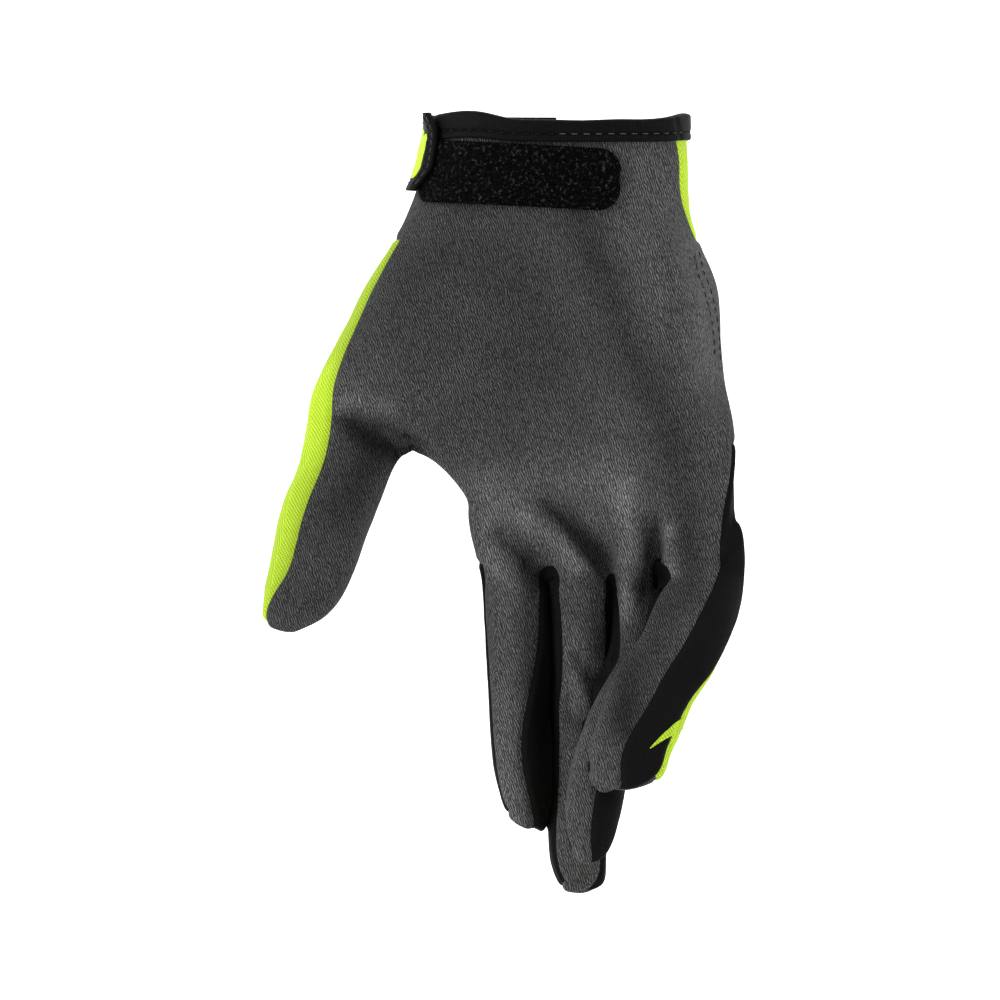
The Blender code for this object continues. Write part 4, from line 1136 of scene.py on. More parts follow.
def knit_finish():
    """Slanted ribs, each a row of small loops; the dye glows, so that shade stays yellow-green."""
    made, tree, place = material("fluorescent_polyester_twill_knit")
    wander = add(tree, "TexNoise", {"Vector": place, "Scale": 1 / KNIT_WANDER, "Detail": 2.0})
    bend = {0: wander.outputs["Color"], 1: (KNIT_BEND,) * 3, 2: place}
    bent = add(tree, "VectorMath", bend, operation="MULTIPLY_ADD")
    heights = []
    for x, y in ((1.0, 0), (0, -1.0)):  # over the back, and over the edges
        height = 1.0
        for lean, rise, pitch, low in KNIT_WAVES:
            turns = [math.tau / pitch * share for share in (lean * x, lean * y, rise)]
            phase = add(tree, "VectorMath", {0: bent, 1: turns}, operation="DOT_PRODUCT")
            wave = add(tree, "Math", {0: phase.outputs["Value"]}, operation="SINE")
            wave = add(tree, "MapRange", {0: wave, 1: -1.0, 2: 1.0, 3: low, 4: 1.0})
            height = add(tree, "Math", {0: wave, 1: height}, operation="MULTIPLY")
        heights.append(height)
    height = add(tree, "Mix", {0: sideways(tree), 2: heights[0], 3: heights[1]})

    shade = add(tree, "MapRange", {0: height, 1: 0.0, 2: 0.55}, interpolation_type="SMOOTHSTEP")
    between, top = linear("#8aa812"), linear("#c4e636")
    colour = add(tree, "Mix", {0: shade, 6: between, 7: top}, data_type="RGBA")
    cloudy = add(tree, "TexNoise", {"Vector": place, "Scale": 1 / KNIT_FADE, "Detail": 2.0})
    faded = add(tree, "MapRange", {0: cloudy, 1: 0.3, 2: 0.7, 3: 0.0, 4: 0.25})
    colour = add(tree, "Mix", {0: faded, 6: colour, 7: linear("#aacc28")}, data_type="RGBA")
    # painted light and shade: the colour is made paler or darker by the shade stored at each point
    nap = add(tree, "Attribute", attribute_name="nap").outputs["Fac"]
    colour = add(tree, "VectorMath", {0: colour, "Scale": nap}, operation="SCALE")
    soft = add(tree, "TexNoise", {"Vector": place, "Scale": 1 / KNIT_SOFT, "Detail": 2.0})
    bumps = [(height, 0.2, 0.9), (soft, 0.3, 0.5)]
    sheen = {"Sheen_Weight": 0.06, "Sheen_Tint": linear("#d8f050")}
    return surface_of(made, colour, 0.75, 0.25, bumps, **sheen)


KNIT = knit_finish()
panel("back_panel", KNIT, KNIT_WALL, "knit")


# ---- Finger sides ----
# Black two-way stretch jersey: a long strip between each two fingers, one on the index finger's
# thumb side, and one that runs up the little finger into the edge of the hand.

STRETCH_WALL = 0.0011
JERSEY_RIB = 0.55  # millimetres; drawn as coarse as the picture can show, the real one is 0.35
JERSEY_LOOP = 0.5
JERSEY_SOFT = 5.0


def weave_waves(tree, across, down):
    """Sine waves across and down a cloth's weave, of those lengths in millimetres."""
    turns = (math.tau / across / MM, math.tau / down / MM, 0)
    spot = add(tree, "UVMap", uv_map="weave")
    phase = add(tree, "VectorMath", {0: spot, 1: turns}, operation="MULTIPLY")
    waves = add(tree, "VectorMath", {0: phase}, operation="SINE")
    return list(add(tree, "SeparateXYZ", {0: waves}).outputs)[:2]


def jersey_finish():
    """Near-black fine ribs down the finger, a little shiny along their tops."""
    made, tree, place = material("black_elastane_jersey")
    waves = weave_waves(tree, JERSEY_RIB, JERSEY_LOOP)
    halves = [add(tree, "MapRange", {0: wave, 1: -1.0, 2: 1.0}) for wave in waves]
    height = add(tree, "Math", {0: halves[0], 1: halves[1]}, operation="MULTIPLY")
    soft = add(tree, "TexNoise", {"Vector": place, "Scale": 1 / JERSEY_SOFT, "Detail": 2.0})
    bumps = [(height, 0.08, 0.7), (soft, 0.3, 0.5)]
    return surface_of(made, (height, "#070707", "#161616"), 0.75, 0.06, bumps)


JERSEY = jersey_finish()
for fingers in ("index_middle", "middle_ring", "ring_little"):
    panel(f"fourchette_{fingers}", JERSEY, STRETCH_WALL, "stretch")
for finger in ("index", "little"):
    panel(f"{finger}_side_gusset", JERSEY, STRETCH_WALL, "stretch")


# ---- Cuff binding ----
# A strip of ribbed black stretch tape, folded over the cut edge of the cuff and sewn through once.
# The row of thread pinches it, so that it puffs up above and leaves a thin lip below.

CLEARANCE = 0.0003
# Millimetres
LIP = 4.9
INNER_LIP = 4.0
TAPE = 1.0
TAPE_RIB = 0.8  # drawn as coarse as the picture can show, the real one is 0.5
TAPE_SPECKLE, TAPE_SOFT = 0.5, 3.0
PLY_SCALE = 0.9  # gives the thread 1.4 turns of its plies to a millimetre
LIP_SINK = 0.5  # how much of the edge's wave the lip's lower edge leaves out
STITCH_UP = 2.2
STITCH_PITCH = 3.2
STITCH_LENGTH = 1.7
THREAD_WIDTH = 0.30
THREAD_RISE = 0.22
# How far the tape puffs up and its edge waves, and how long each swelling of them is
PUFF, PUFF_LENGTH = 0.14, 6
WAVE, WAVE_LENGTH = 0.15, 11
EDGE_EVENED = 30  # rounds of evening out which way the edge faces
LIES_ON = -0.5  # below this height the tape follows the cloth
SEARCH_OFF = 20  # how far outside the cloth the search for it starts
THREAD_SUNK = 0.3  # how deep the thread lies in the tape


def tape_finish():
    """Near-black with fine ribs across the tape, a little more shiny than the cloth."""
    made, tree, place = material("black_ribbed_elastic_tape")
    rib = weave_waves(tree, TAPE_RIB, TAPE_RIB)[0]
    rib = add(tree, "MapRange", {0: rib, 1: -1.0, 2: 1.0})
    speckle = add(tree, "TexNoise", {"Vector": place, "Scale": 1 / TAPE_SPECKLE, "Detail": 1.0})
    height = add(tree, "Math", {0: rib, 1: speckle}, operation="MULTIPLY")
    soft = add(tree, "TexNoise", {"Vector": place, "Scale": 1 / TAPE_SOFT, "Detail": 2.0})
    bumps = [(height, 0.1, 0.8), (soft, 0.2, 0.5)]
    return surface_of(made, (height, "#060606", "#141414"), 0.6, 0.05, bumps)


def thread_finish(name, shade):
    """Twisted polyester thread: a slight shine along each turn of its plies."""
    made, tree, place = material(name)
    ply = {"Vector": place, "Scale": PLY_SCALE, "Distortion": 1.0}
    twist = add(tree, "TexWave", ply, bands_direction="DIAGONAL")
    dim = add(tree, "MapRange", {0: twist, 3: 0.0, 4: 0.5})
    return surface_of(made, (dim, shade, "#080808"), 0.5, 0.15, [(twist, 0.08, 0.7)])


def top_loop():
    """The points of the cuff's edge, in order round it."""
    follow = dict(seam_edges(cloth.quads))
    loop = [min(follow)]
    while follow[loop[-1]] != loop[0]:
        loop.append(follow[loop[-1]])
    return loop


def grid_faces(rows, columns, start=0, closed=False):
    """Quads between rows of points, each of the same number of points."""
    faces = []
    for i in range(rows - 1):
        for j in range(columns if closed else columns - 1):
            on = (j + 1) % columns
            a, b = start + i * columns, start + (i + 1) * columns
            faces.append((a + j, a + on, b + on, b + j))
    return faces


def mesh_of(name, points, faces, weave=None):
    mesh = bpy.data.meshes.new(name)
    mesh.from_pydata([tuple(p) for p in points], [], faces)
    if weave is not None:
        layer = mesh.uv_layers.new(name="weave")
        corners = read(mesh.loops, "vertex_index", 1, np.int32).ravel()
        layer.uv.foreach_set("vector", np.array(weave, np.float32)[corners].ravel())
    return mesh


class Stitches:
    """A row of sewing thread, each stitch a hump of thread that stands off the cloth."""

    # shares of its length, and how thick the thread is there
    HUMP = [(0.0, 0.35), (0.15, 0.9), (0.5, 1.0), (0.85, 0.9), (1.0, 0.35)]
    SIDES = 6

    def __init__(self):
        self.points = []
        self.faces = []

    def sew(self, a, b, out):
        """Adds one stitch from a to b, standing off toward out."""
        along = b - a
        side = along.cross(out).normalized() * THREAD_WIDTH / 2 * MM
        up = out.normalized() * THREAD_RISE * MM
        start = len(self.points)
        for share, wide in self.HUMP:
            middle = a + along * share + up * (math.sin(math.pi * (0.1 + 0.8 * share)) - 0.5)
            for k in range(self.SIDES):
                turn = math.tau * k / self.SIDES
                bulge = side * math.cos(turn) + up * math.sin(turn)
                self.points.append(middle + bulge * wide)
        end = len(self.points)
        self.faces += grid_faces(len(self.HUMP), self.SIDES, start, closed=True)
        self.faces.append(tuple(reversed(range(start, start + self.SIDES))))
        self.faces.append(tuple(range(end - self.SIDES, end)))

    def finish(self, name, thread, slot):
        add_piece(name, mesh_of(name, self.points, self.faces), thread, slot)


class Wrist:
    """Places on the outside of the cuff, by the distance round it from the palm side's middle.

    Distances grow toward the thumb side and run on over the back.
    """

    LEVEL = -0.010  # height at which the distances are measured
    STEP = 4  # degrees from one measured place to the next
    AIM = 5  # degrees over which the outward direction is evened out
    HIGHEST = -0.0023

    def __init__(self, surface):
        self.surface = surface
        self.turns = list(range(-180, 180 + self.STEP, self.STEP))
        rim = [self.hit(turn, self.LEVEL) for turn in self.turns]
        walked = walked_along(rim)
        self.walked = walked - np.interp(0, self.turns, walked)

    def hit(self, degrees, z):
        turn = math.radians(degrees)
        heading = Vector((-math.sin(turn), -math.cos(turn), 0))
        return self.surface.ray_cast(Vector((0, 0, min(z, self.HIGHEST))), heading)[0]

    def at(self, distance, z, off):
        """The point at a distance round the cuff and a height, off the cloth by off."""
        degrees = float(np.interp(distance, self.walked, self.turns))
        before, here, after = (self.hit(degrees + turn, z) for turn in (-self.AIM, 0, self.AIM))
        run = after - before
        return Vector((here.x, here.y, z)) + Vector((-run.y, run.x, 0)).normalized() * off

    def out(self, distance, z):
        return self.at(distance, z, MM) - self.at(distance, z, 0)


def binding_profile():
    """Outward from the cloth's face and up from its edge, in millimetres, from lip to inner lip."""
    wall = max(SUEDE_WALL, KNIT_WALL) / MM
    near = CLEARANCE / MM
    far = near + TAPE
    pinch = -LIP + STITCH_UP
    line = [(near, -LIP + 0.15), (near + 0.4, -LIP), (far - 0.2, -LIP + 0.2)]
    line += [(far - 0.05, pinch - 1.3), (far - 0.08, pinch - 0.6), (far - 0.5, pinch)]
    line += [(far - 0.08, pinch + 0.5), (far + 0.05, pinch + 1.2), (far + 0.1, -0.2)]
    reach = wall / 2 + far + 0.05
    for turn in map(math.radians, range(0, 181, 20)):
        line.append((-wall / 2 + reach * math.cos(turn), 0.25 + 0.9 * math.sin(turn)))
    return line + [(-wall - far, -1.0), (-wall - far, -INNER_LIP), (-wall - near, -INNER_LIP)]


def cuff_binding(surface):
    profile = binding_profile()
    loop = top_loop()
    edge = cloth.places[loop]
    outs = cloth.normals[loop] * (1, 1, 0)
    for _ in range(EDGE_EVENED):
        outs = (np.roll(outs, 1, axis=0) + outs + np.roll(outs, -1, axis=0)) / 3
    outs /= np.linalg.norm(outs, axis=1)[:, None]
    lowest = edge[:, 2].min()
    steps = np.linalg.norm(np.diff(edge, axis=0, append=edge[:1]), axis=1)
    points = []
    weave = []
    for place, out, around in zip(edge, outs, np.cumsum(steps)):
        puff = PUFF * noise.noise(Vector((around / MM / PUFF_LENGTH, 0.3, 0.0)))
        wave = WAVE * noise.noise(Vector((around / MM / WAVE_LENGTH, 5.3, 0.0)))
        down = 0.0
        for k, (across, up) in enumerate(profile):
            face = place + (0, 0, (up + wave) * MM)
            if up < LIES_ON:
                z = up * MM - LIP_SINK * (place[2] - lowest)
                start = Vector(place) + Vector(out) * SEARCH_OFF * MM + Vector((0, 0, z))
                hit = surface.ray_cast(start, -Vector(out))[0]
                face = np.array(hit) if hit else place + (0, 0, z)
            swell = puff if across > 0 and up > -LIP + STITCH_UP else 0.0
            points.append(face + out * (across + swell) * MM)
            down += math.dist(profile[k], profile[k - 1]) * MM if k else 0.0
            weave.append((around, down))
    size, turns = len(profile), len(loop)
    faces = []
    for a, b in zip(range(turns), [*range(1, turns), 0]):
        for j, on in zip(range(size), [*range(1, size), 0]):
            faces.append((a * size + j, b * size + j, b * size + on, a * size + on))
    mesh = mesh_of("cuff_binding", points, faces, weave)
    add_piece("cuff_binding_tape", mesh, TAPE_FINISH, "neoprene", "cuff_binding")


def stitch_height():
    """A function that gives the height of the binding's row of thread at a place round the cuff."""
    edge = cloth.places[top_loop()]
    lowest = edge[:, 2].min() / MM
    turns = np.degrees(np.arctan2(-edge[:, 0], -edge[:, 1])) % 360
    order = np.argsort(turns)

    def height(distance):
        degrees = np.interp(distance, wrist.walked, wrist.turns) % 360
        top = np.interp(degrees, turns[order], edge[order, 2] / MM, period=360)
        return (top - LIP_SINK * (top - lowest) - LIP + STITCH_UP) * MM

    return height


def cuff_stitches():
    height = stitch_height()
    rows = {BLACK_THREAD: Stitches(), HIGHLIGHT_THREAD: Stitches()}
    whole = wrist.walked[-1] - wrist.walked[0]
    count = int(whole / MM / STITCH_PITCH)
    for k in range(count):
        start = wrist.walked[0] + whole * (k + 0.2) / count
        ends = (start, start + STITCH_LENGTH * MM)
        off = CLEARANCE + (TAPE - THREAD_SUNK) * MM
        a, b = (wrist.at(end, height(end), off) for end in ends)
        # painted highlight: stitches on the palm side take the pale thread
        thread = HIGHLIGHT_THREAD if HIGHLIGHT_FROM < start < HIGHLIGHT_TO else BLACK_THREAD
        rows[thread].sew(a, b, wrist.out(start, height(start)))
    for thread, row in rows.items():
        row.finish(f"cuff_stitches_{thread.name.split('_')[0]}", thread, "neoprene")


# Painted highlight: round the palm side the thread is painted pale, where it catches the light,
# in metres from the palm side's middle
HIGHLIGHT_FROM = -0.040
HIGHLIGHT_TO = -0.001
TAPE_FINISH = tape_finish()
BLACK_THREAD = thread_finish("black_polyester_thread", "#0c0c0c")
HIGHLIGHT_THREAD = thread_finish("grey_rubbed_polyester_thread", "#585858")
surface = solid_surface(cloth.places, cloth.quads)
wrist = Wrist(surface)
cuff_binding(surface)
cuff_stitches()


# ---- Loop patch ----
# Knitted nylon pile, napped until its loops stand up as a tangled fuzz. It is cut with round
# corners and sewn flat on the palm side of the cuff.

PATCH_START = -0.0165  # its right end, round the cuff
PATCH_LENGTH = 0.0560
PATCH_HEIGHT = 0.0168
PATCH_THICKNESS = 0.0014
PATCH_OFF = 0.0005
PATCH_CORNER = 0.0060
PATCH_DROP = 0.0141
PATCH_TILT = math.radians(3.2)
PATCH_ROWS, PATCH_COLUMNS = 28, 80
PILE_LUMP, LUMP_SIZE, TUFT, STRAY = 0.16, 1.6, 0.7, 0.9  # millimetres
PILE_EDGE = 0.35  # how thick the pile is at its edge, a share of its thickness
PILE_ROUNDING = (-0.3, 1.1)  # from where to where it rises from there, in millimetres
FIBRES = 7000
FIBRE_LENGTH, FIBRE_LIFT, FIBRE_HALF_WIDTH = (0.6, 1.7), (0.1, 0.55), (0.02, 0.04)  # millimetres
FIBRE_BEND = 1.6  # radians, to either side
FIBRE_STEPS = 4
FIBRE_REACH = 1.02  # a few stand past the patch's edge
FIBRE_SUNK = 0.1  # millimetres
FIBRE_TAPER = 0.6  # the share of its width that it loses toward its tip


def pile_finish():
    """A dull black ground that swallows light."""
    made, tree, place = material("black_napped_nylon_pile")
    tufts = add(tree, "TexNoise", {"Vector": place, "Scale": 1 / TUFT, "Detail": 3.0})
    height = add(tree, "MapRange", {0: tufts, 1: 0.3, 2: 0.7})
    return surface_of(made, (height, "#020202", "#060606"), 0.95, 0.02, [(height, 0.4, 1.0)])


def fibre_finish():
    """Clear-skinned nylon filaments: most nearly black, some catching the light as grey."""
    made, tree, place = material("black_nylon_filament")
    stray = add(tree, "TexNoise", {"Vector": place, "Scale": 1 / STRAY, "Detail": 1.0})
    lit = add(tree, "MapRange", {0: stray, 1: 0.52, 2: 0.72}, interpolation_type="SMOOTHSTEP")
    return surface_of(made, (lit, "#030303", "#454545"), 0.5, 0.06)


def slab(inner, outer):
    """Points and faces of a closed sheet between two like grids of places."""
    rows, columns = len(inner), len(inner[0])
    count = rows * columns
    points = [p for row in inner for p in row] + [p for row in outer for p in row]
    faces = [face[::-1] for face in grid_faces(rows, columns)] + grid_faces(rows, columns, count)
    rim = list(range(columns)) + [i * columns + columns - 1 for i in range(1, rows)]
    rim += [(rows - 1) * columns + j for j in range(columns - 2, -1, -1)]
    rim += [i * columns for i in range(rows - 2, 0, -1)]
    faces += [(a, b, b + count, a + count) for a, b in zip(rim, rim[1:] + rim[:1])]
    return points, faces


def patch_reach(back):
    """Half the patch's height at a distance back from its right end."""
    end = min(back, PATCH_LENGTH - back)
    reach = PATCH_HEIGHT / 2
    if end < PATCH_CORNER:
        reach += math.sqrt(max(0.0, PATCH_CORNER**2 - (PATCH_CORNER - end) ** 2)) - PATCH_CORNER
    return reach


def patch_place(back, up, off):
    distance = PATCH_START + back * math.cos(PATCH_TILT) - up * math.sin(PATCH_TILT)
    z = -PATCH_DROP + (back - PATCH_LENGTH / 2) * math.sin(PATCH_TILT) + up * math.cos(PATCH_TILT)
    return wrist.at(distance, z, off)


def pile_top(back, up):
    """How far the pile stands off the cloth: rounded off at the edge, and lumpy."""
    rim = min(patch_reach(back) - abs(up), back, PATCH_LENGTH - back) / MM
    spot = Vector((back / MM / LUMP_SIZE, up / MM / LUMP_SIZE, 2.0))
    share = blend(PILE_EDGE, 1.0, float(ramp(rim, *PILE_ROUNDING)))
    return PATCH_OFF + PATCH_THICKNESS * share + PILE_LUMP * noise.noise(spot) * MM


def loop_patch():
    inner, outer = [], []
    for i in range(PATCH_ROWS + 1):
        spots = []
        for j in range(PATCH_COLUMNS + 1):
            back = PATCH_LENGTH * (1 + math.cos(math.pi * j / PATCH_COLUMNS)) / 2
            spots.append((back, patch_reach(back) * (1 - 2 * i / PATCH_ROWS)))
        inner.append([patch_place(back, up, PATCH_OFF) for back, up in spots])
        outer.append([patch_place(back, up, pile_top(back, up)) for back, up in spots])
    mesh = mesh_of("loop_patch", *slab(inner, outer))
    add_piece("loop_patch_pile", mesh, PILE, "pile", "loop_patch")


def pile_fibres():
    """The loose filaments on the pile, each a thin bent ribbon."""
    chance = random.Random(7)
    points, faces = [], []
    for _ in range(FIBRES):
        back = PATCH_LENGTH * chance.random()
        up = patch_reach(back) * chance.uniform(-FIBRE_REACH, FIBRE_REACH)
        top = pile_top(back, up)
        foot = patch_place(back, up, top)
        along = patch_place(back + MM, up, top) - foot
        higher = patch_place(back, up + MM, top) - foot
        out = along.cross(higher).normalized()
        out = out if out.y < 0 else -out
        heading = chance.uniform(0, math.tau)
        bend = chance.uniform(-FIBRE_BEND, FIBRE_BEND)
        length = chance.uniform(*FIBRE_LENGTH)
        lift = chance.uniform(*FIBRE_LIFT) * MM
        wide = chance.uniform(*FIBRE_HALF_WIDTH)
        start = len(points)
        for k in range(FIBRE_STEPS + 1):
            share = k / FIBRE_STEPS
            turn = heading + bend * share
            run = along * math.cos(turn) + higher * math.sin(turn)
            rise = lift * math.sin(math.pi * (0.15 + 0.75 * share)) - FIBRE_SUNK * MM
            middle = foot + run * length * share + out * rise
            side = run.cross(out).normalized() * wide * (1 - FIBRE_TAPER * share) * MM
            points += [middle - side, middle + side]
        faces += grid_faces(FIBRE_STEPS + 1, 2, start)
    add_piece("pile_fibres", mesh_of("pile_fibres", points, faces), FILAMENT, "pile")


PILE = pile_finish()
FILAMENT = fibre_finish()
loop_patch()
pile_fibres()


# ---- Closure tab and its edging ----
# A flat black webbing strap from the back of the cuff, round the thumb side, onto the pile. Its end
# is bound with folded tape, its long edges are hemmed, and plain yellow rubber bars are pressed on.

TAB_WIDTH = 0.0207
TAB_THICKNESS = 0.0009
TAB_TOP = 0.0029  # height of its upper edge
TAB_START = 0.0352  # its palm-side end, round the cuff
TAB_LENGTH = 0.0583
TAB_ROWS, TAB_COLUMNS = 24, 64
YARN_PITCH, YARN_SOFT, PVC_GRAIN = 0.9, 4.0, 0.8  # millimetres
# How far round the tab's end lies at each height, in millimetres
TAB_END = [
    # height, and how far round
    *((3.2, 4.4), (1.0, 2.2), (-1.1, 0.4), (-3.8, -0.6)),
    *((-7.0, -1.2), (-12.0, -1.2), (-15.0, 0.8), (-17.8, 3.4)),
]
TAB_STEPS_DOWN = (0.006, 0.011)  # between these depths it comes down from the binding to the cloth
# Its rounding, and its hem's depth, place and width, in millimetres
TAB_ROUNDING = 0.35
HEM_DEPTH, HEM_AWAY, HEM_WIDTH = 0.12, 2.3, 0.35
TAB_FLAT = 0.10  # the share of its length that lies flat over the patch
TAB_FALL = 0.22  # the share over which it then comes down onto the binding
EDGING_WIDTH = 0.0031
EDGING_THICKNESS = 0.0003
EDGING_GAP = 0.0001
# Its rows of thread: two beside its end, and one along each long edge between two shares of it
END_ROWS, END_STITCH, END_PITCH, END_MARGIN = (0.0005, 0.0026), 0.0015, 0.0021, 0.001
HEM_ROWS, HEM_STITCH, HEM_PITCH = (TAB_TOP - 0.0024, TAB_TOP - TAB_WIDTH + 0.0021), 0.0018, 0.0028
HEM_FROM, HEM_TO = 0.10, 0.97
BARS = [(3.4, 2.6), (6.5, 2.8), (10.4, 2.4)]  # where each starts, and its width, in millimetres
BAR_TOPS = (-2.7, -1.4, -0.4)  # millimetres
BAR_BOTTOM = -14.6
BAR_SLANT = 0.06  # how much further round a bar lies for each bit of height
BAR_STEP = 0.8  # how much higher each next bar ends, in millimetres
BAR_THICKNESS = 0.00025
BAR_SINK = 0.00015  # how deep it sits in the webbing
BAR_RIM = 0.3  # the share of its thickness that is left at its rim
BAR_END = 0.4  # the share of its width that is left at its ends
BAR_ROWS, BAR_COLUMNS = 16, 8


def webbing_finish():
    """Plain weave in black filament yarn: small shiny squares with dark gaps."""
    made, tree, place = material("black_nylon_webbing")
    across, down = weave_waves(tree, YARN_PITCH, YARN_PITCH)
    height = add(tree, "Math", {0: across, 1: down}, operation="MULTIPLY")
    height = add(tree, "MapRange", {0: height, 1: -1.0, 2: 1.0})
    soft = add(tree, "TexNoise", {"Vector": place, "Scale": 1 / YARN_SOFT, "Detail": 2.0})
    bumps = [(height, 0.1, 0.8), (soft, 0.2, 0.5)]
    return surface_of(made, (height, "#080808", "#181818"), 0.55, 0.1, bumps)


def rubber_finish():
    """Soft yellow PVC pressed onto the weave, with a faint fine grain."""
    made, tree, place = material("yellow_pressed_pvc")
    grain = add(tree, "TexNoise", {"Vector": place, "Scale": 1 / PVC_GRAIN, "Detail": 2.0})
    shade = add(tree, "MapRange", {0: grain, 1: 0.3, 2: 0.7})
    return surface_of(made, (shade, "#a8d814", "#b8e81c"), 0.5, 0.3, [(grain, 0.08, 0.6)])


def tab_start(z):
    """How far round the cuff the tab's end lies at a height."""
    heights, ends = zip(*sorted(TAB_END))
    return TAB_START + float(np.interp(z / MM, heights, ends)) * MM


def tab_place(share, z, off):
    """A place at a share of the tab's length, off its inner face by off."""
    over_patch = PATCH_OFF + PATCH_THICKNESS + EDGING_THICKNESS + 2 * EDGING_GAP
    over_binding = 2 * CLEARANCE + TAPE * MM
    over_cloth = blend(over_binding, CLEARANCE, float(ramp(-z, *TAB_STEPS_DOWN)))
    fall = min(1.0, max(0.0, (share - TAB_FLAT) / TAB_FALL))
    lift = blend(over_patch, over_cloth, fall)
    return wrist.at(blend(tab_start(z), TAB_START + TAB_LENGTH, share), z, lift + off)


def closure_tab():
    inner, outer, weave = [], [], []
    for i in range(TAB_ROWS + 1):
        z = TAB_TOP - TAB_WIDTH * (1 - math.cos(math.pi * i / TAB_ROWS)) / 2
        rim = min(TAB_TOP - z, z - TAB_TOP + TAB_WIDTH) / MM
        round_off = TAB_ROUNDING * MM * (1 - float(ramp(rim, -0.2, 0.7)))
        hem = HEM_DEPTH * MM * math.exp(-(((rim - HEM_AWAY) / HEM_WIDTH) ** 2))
        shares = [j / TAB_COLUMNS for j in range(TAB_COLUMNS + 1)]
        inner.append([tab_place(share, z, round_off) for share in shares])
        outer.append([tab_place(share, z, TAB_THICKNESS - round_off - hem) for share in shares])
        weave += [(share * TAB_LENGTH, z) for share in shares]
    mesh = mesh_of("closure_tab", *slab(inner, outer), weave + weave)
    add_piece("closure_tab_webbing", mesh, WEBBING, "webbing", "closure_tab")


def tab_edging():
    """The folded tape over the tab's end, a little proud of it and softly rounded."""
    far = EDGING_GAP + EDGING_THICKNESS
    middle = TAB_THICKNESS / 2
    half = middle + far
    profile = [(EDGING_WIDTH, half - 0.0001), (EDGING_WIDTH - 0.0002, half)]
    profile += [(0.0008, half + 0.0001), (-far * 0.4, half * 0.85), (-far, half * 0.4)]
    profile += [(-far, -half * 0.4), (-far * 0.4, -half * 0.85), (0.0008, -half)]
    inside = middle + EDGING_GAP
    profile += [(EDGING_WIDTH, -half), (EDGING_WIDTH, -inside), (-EDGING_GAP, -inside)]
    profile += [(-EDGING_GAP, inside), (EDGING_WIDTH, inside)]
    points, weave = [], []
    for i in range(TAB_ROWS + 1):
        z = TAB_TOP + 0.0002 - (TAB_WIDTH + 0.0004) * i / TAB_ROWS
        for back, off in profile:
            share = back / (TAB_START + TAB_LENGTH - tab_start(z))
            points.append(tab_place(share, z, middle + off))
            weave.append((z, back))
    size = len(profile)
    faces = grid_faces(TAB_ROWS + 1, size, closed=True)
    faces += [tuple(range(size - 1, -1, -1)), tuple(range(len(points) - size, len(points)))]
    mesh = mesh_of("tab_edging", points, faces, weave)
    add_piece("tab_edging_tape", mesh, TAPE_FINISH, "webbing", "tab_edge_binding")


def tab_stitches():
    row = Stitches()
    off = TAB_THICKNESS + EDGING_GAP + EDGING_THICKNESS
    for back in END_ROWS:
        z = TAB_TOP - END_MARGIN
        while z > TAB_TOP - TAB_WIDTH + END_MARGIN:
            ends = []
            for level in (z, z - END_STITCH):
                share = back / (TAB_START + TAB_LENGTH - tab_start(level))
                ends.append(tab_place(share, level, off))
            row.sew(*ends, wrist.out(TAB_START + back, z))
            z -= END_PITCH
    for z in HEM_ROWS:
        share = HEM_FROM
        while share < HEM_TO:
            ends = (share, share + HEM_STITCH / TAB_LENGTH)
            a, b = (tab_place(end, z, TAB_THICKNESS) for end in ends)
            row.sew(a, b, wrist.out(TAB_START + share * TAB_LENGTH, z))
            share += HEM_PITCH / TAB_LENGTH
    row.finish("tab_stitches", TAB_THREAD, "webbing")


def tab_bars():
    for number, ((start, width), top) in enumerate(zip(BARS, BAR_TOPS)):
        inner, outer = [], []
        for i in range(BAR_ROWS + 1):
            z = blend(top, BAR_BOTTOM + number * BAR_STEP, i / BAR_ROWS)
            to_end = min(i, BAR_ROWS - i)
            rounding = 1 - min(1.0, to_end / BAR_ROWS * (top - BAR_BOTTOM))
            half = width / 2 * blend(BAR_END, 1.0, math.sqrt(1 - rounding**2))
            centre = start + width / 2 - (z - top) * BAR_SLANT
            inner.append([])
            outer.append([])
            for j in range(BAR_COLUMNS + 1):
                share = blend(centre - half, centre + half, j / BAR_COLUMNS) * MM / TAB_LENGTH
                on_rim = min(to_end, j, BAR_COLUMNS - j) == 0
                rise = BAR_THICKNESS * (BAR_RIM if on_rim else 1.0)
                inner[-1].append(tab_place(share, z * MM, TAB_THICKNESS - BAR_SINK))
                outer[-1].append(tab_place(share, z * MM, TAB_THICKNESS + rise))
        mesh = mesh_of("tab_bar", *slab(inner, outer))
        add_piece(f"tab_bar_{number}", mesh, RUBBER, "webbing")


WEBBING = webbing_finish()
RUBBER = rubber_finish()
TAB_THREAD = thread_finish("grey_polyester_thread", "#444444")
closure_tab()
tab_edging()
tab_stitches()
tab_bars()


# ---- Tongue on the little finger's side ----
# The back's yellow knit ends there in a narrow pointed tongue, laid on the black jersey and sewn
# down. Thin as it is, it lies on the jersey's curve all along.

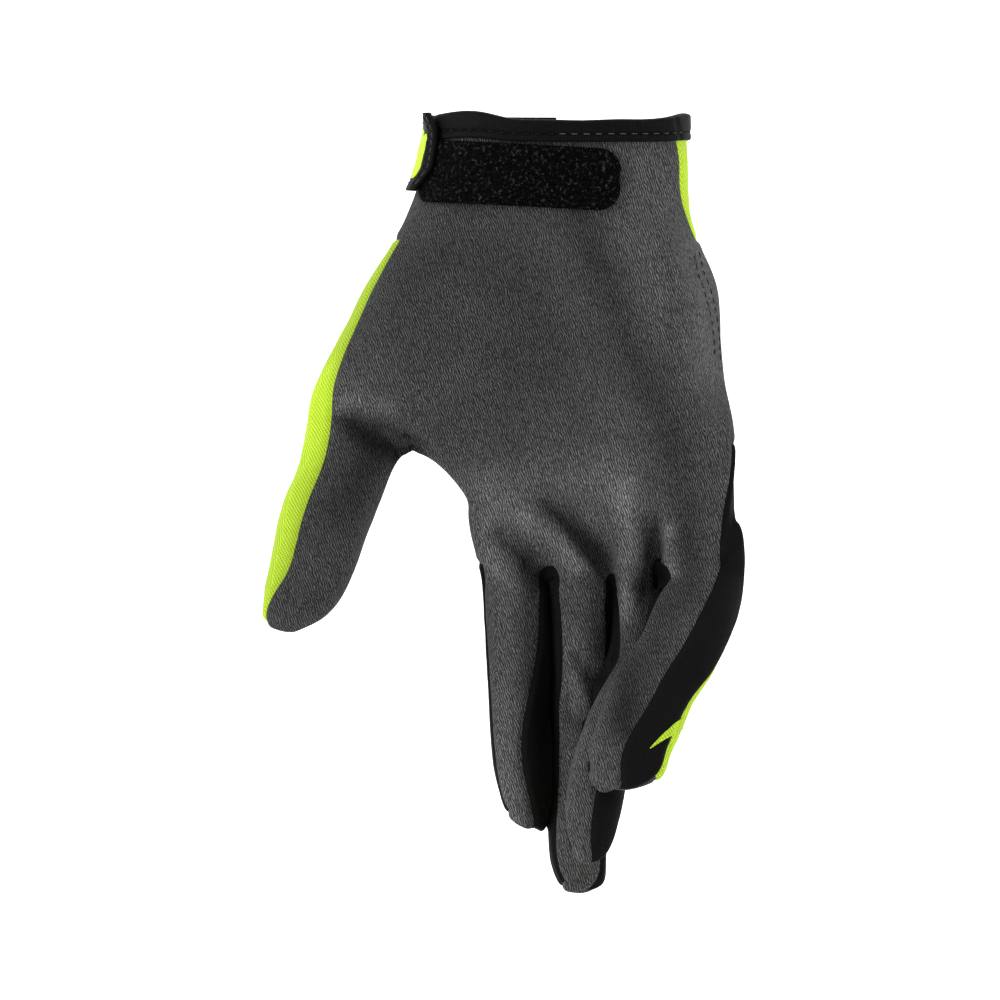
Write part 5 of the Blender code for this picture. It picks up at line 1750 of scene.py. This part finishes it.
TONGUE = [
    # x, and z of its upper and of its lower edge, in millimetres, from its foot to its point
    (34.4, -159.2, -162.4),
    (31.2, -161.3, -164.0),
    (27.8, -164.4, -166.1),
    (24.4, -167.9, -168.2),
]
TONGUE_THICKNESS = 0.0003
TONGUE_STEPS, TONGUE_ACROSS = 24, 4


def from_palm(x, z):
    """The place on the cloth at x and z in millimetres seen from the palm, and its facing."""
    return surface.ray_cast(Vector((x, -200, z)) * MM, Vector((0, 1, 0)))[:2]


def tongue():
    inner, outer = [], []
    foots, uppers, lowers = (np.array(column) for column in zip(*TONGUE))
    for k in range(TONGUE_STEPS + 1):
        x = blend(foots[0], foots[-1], k / TONGUE_STEPS)
        upper, lower = (float(np.interp(-x, -foots, edge)) for edge in (uppers, lowers))
        levels = [blend(upper, lower, j / TONGUE_ACROSS) for j in range(TONGUE_ACROSS + 1)]
        hits = [from_palm(x, z) for z in levels]
        if all(place for place, _ in hits):
            inner.append([place for place, _ in hits])
            outer.append([place + out * TONGUE_THICKNESS for place, out in hits])
    mesh = mesh_of("tongue", *slab(inner, outer))
    paint_shading(mesh)
    add_piece("knit_tongue", mesh, KNIT, "knit")


tongue()

# ---- Topstitching at the heel ----
# Two rows of black polyester thread, lockstitched through the suede. They hold down its folded edge
# on the little finger's side, from the cuff to the middle of the hand.

HEEL_ROWS = [
    # x and z of the places along each row, in millimetres, seen from the palm
    [(38, 39.2, 40.9, 42.2, 43, 43.7, 43.9), (-34, -40, -43.5, -48, -52, -57, -64)],
    [(36.6, 37.7, 39.2, 40.5, 41.4, 42.1, 42.4), (-35, -40.8, -44.5, -48.8, -52.6, -57.4, -64)],
]
HEEL_START, HEEL_STITCH, HEEL_PITCH = 0.4, 1.7, 2.6  # millimetres


def heel_stitches():
    stitches = Stitches()
    for line in HEEL_ROWS:
        walked = walked_along(np.transpose(line))
        at = HEEL_START
        while at < walked[-1] - HEEL_STITCH:
            ends = []
            for along in (at, at + HEEL_STITCH):
                ends.append(from_palm(*(float(np.interp(along, walked, row)) for row in line)))
            if all(place for place, _ in ends):
                stitches.sew(ends[0][0], ends[1][0], ends[0][1])
            at += HEEL_PITCH
    stitches.finish("heel_stitches", BLACK_THREAD, "suede")


heel_stitches()
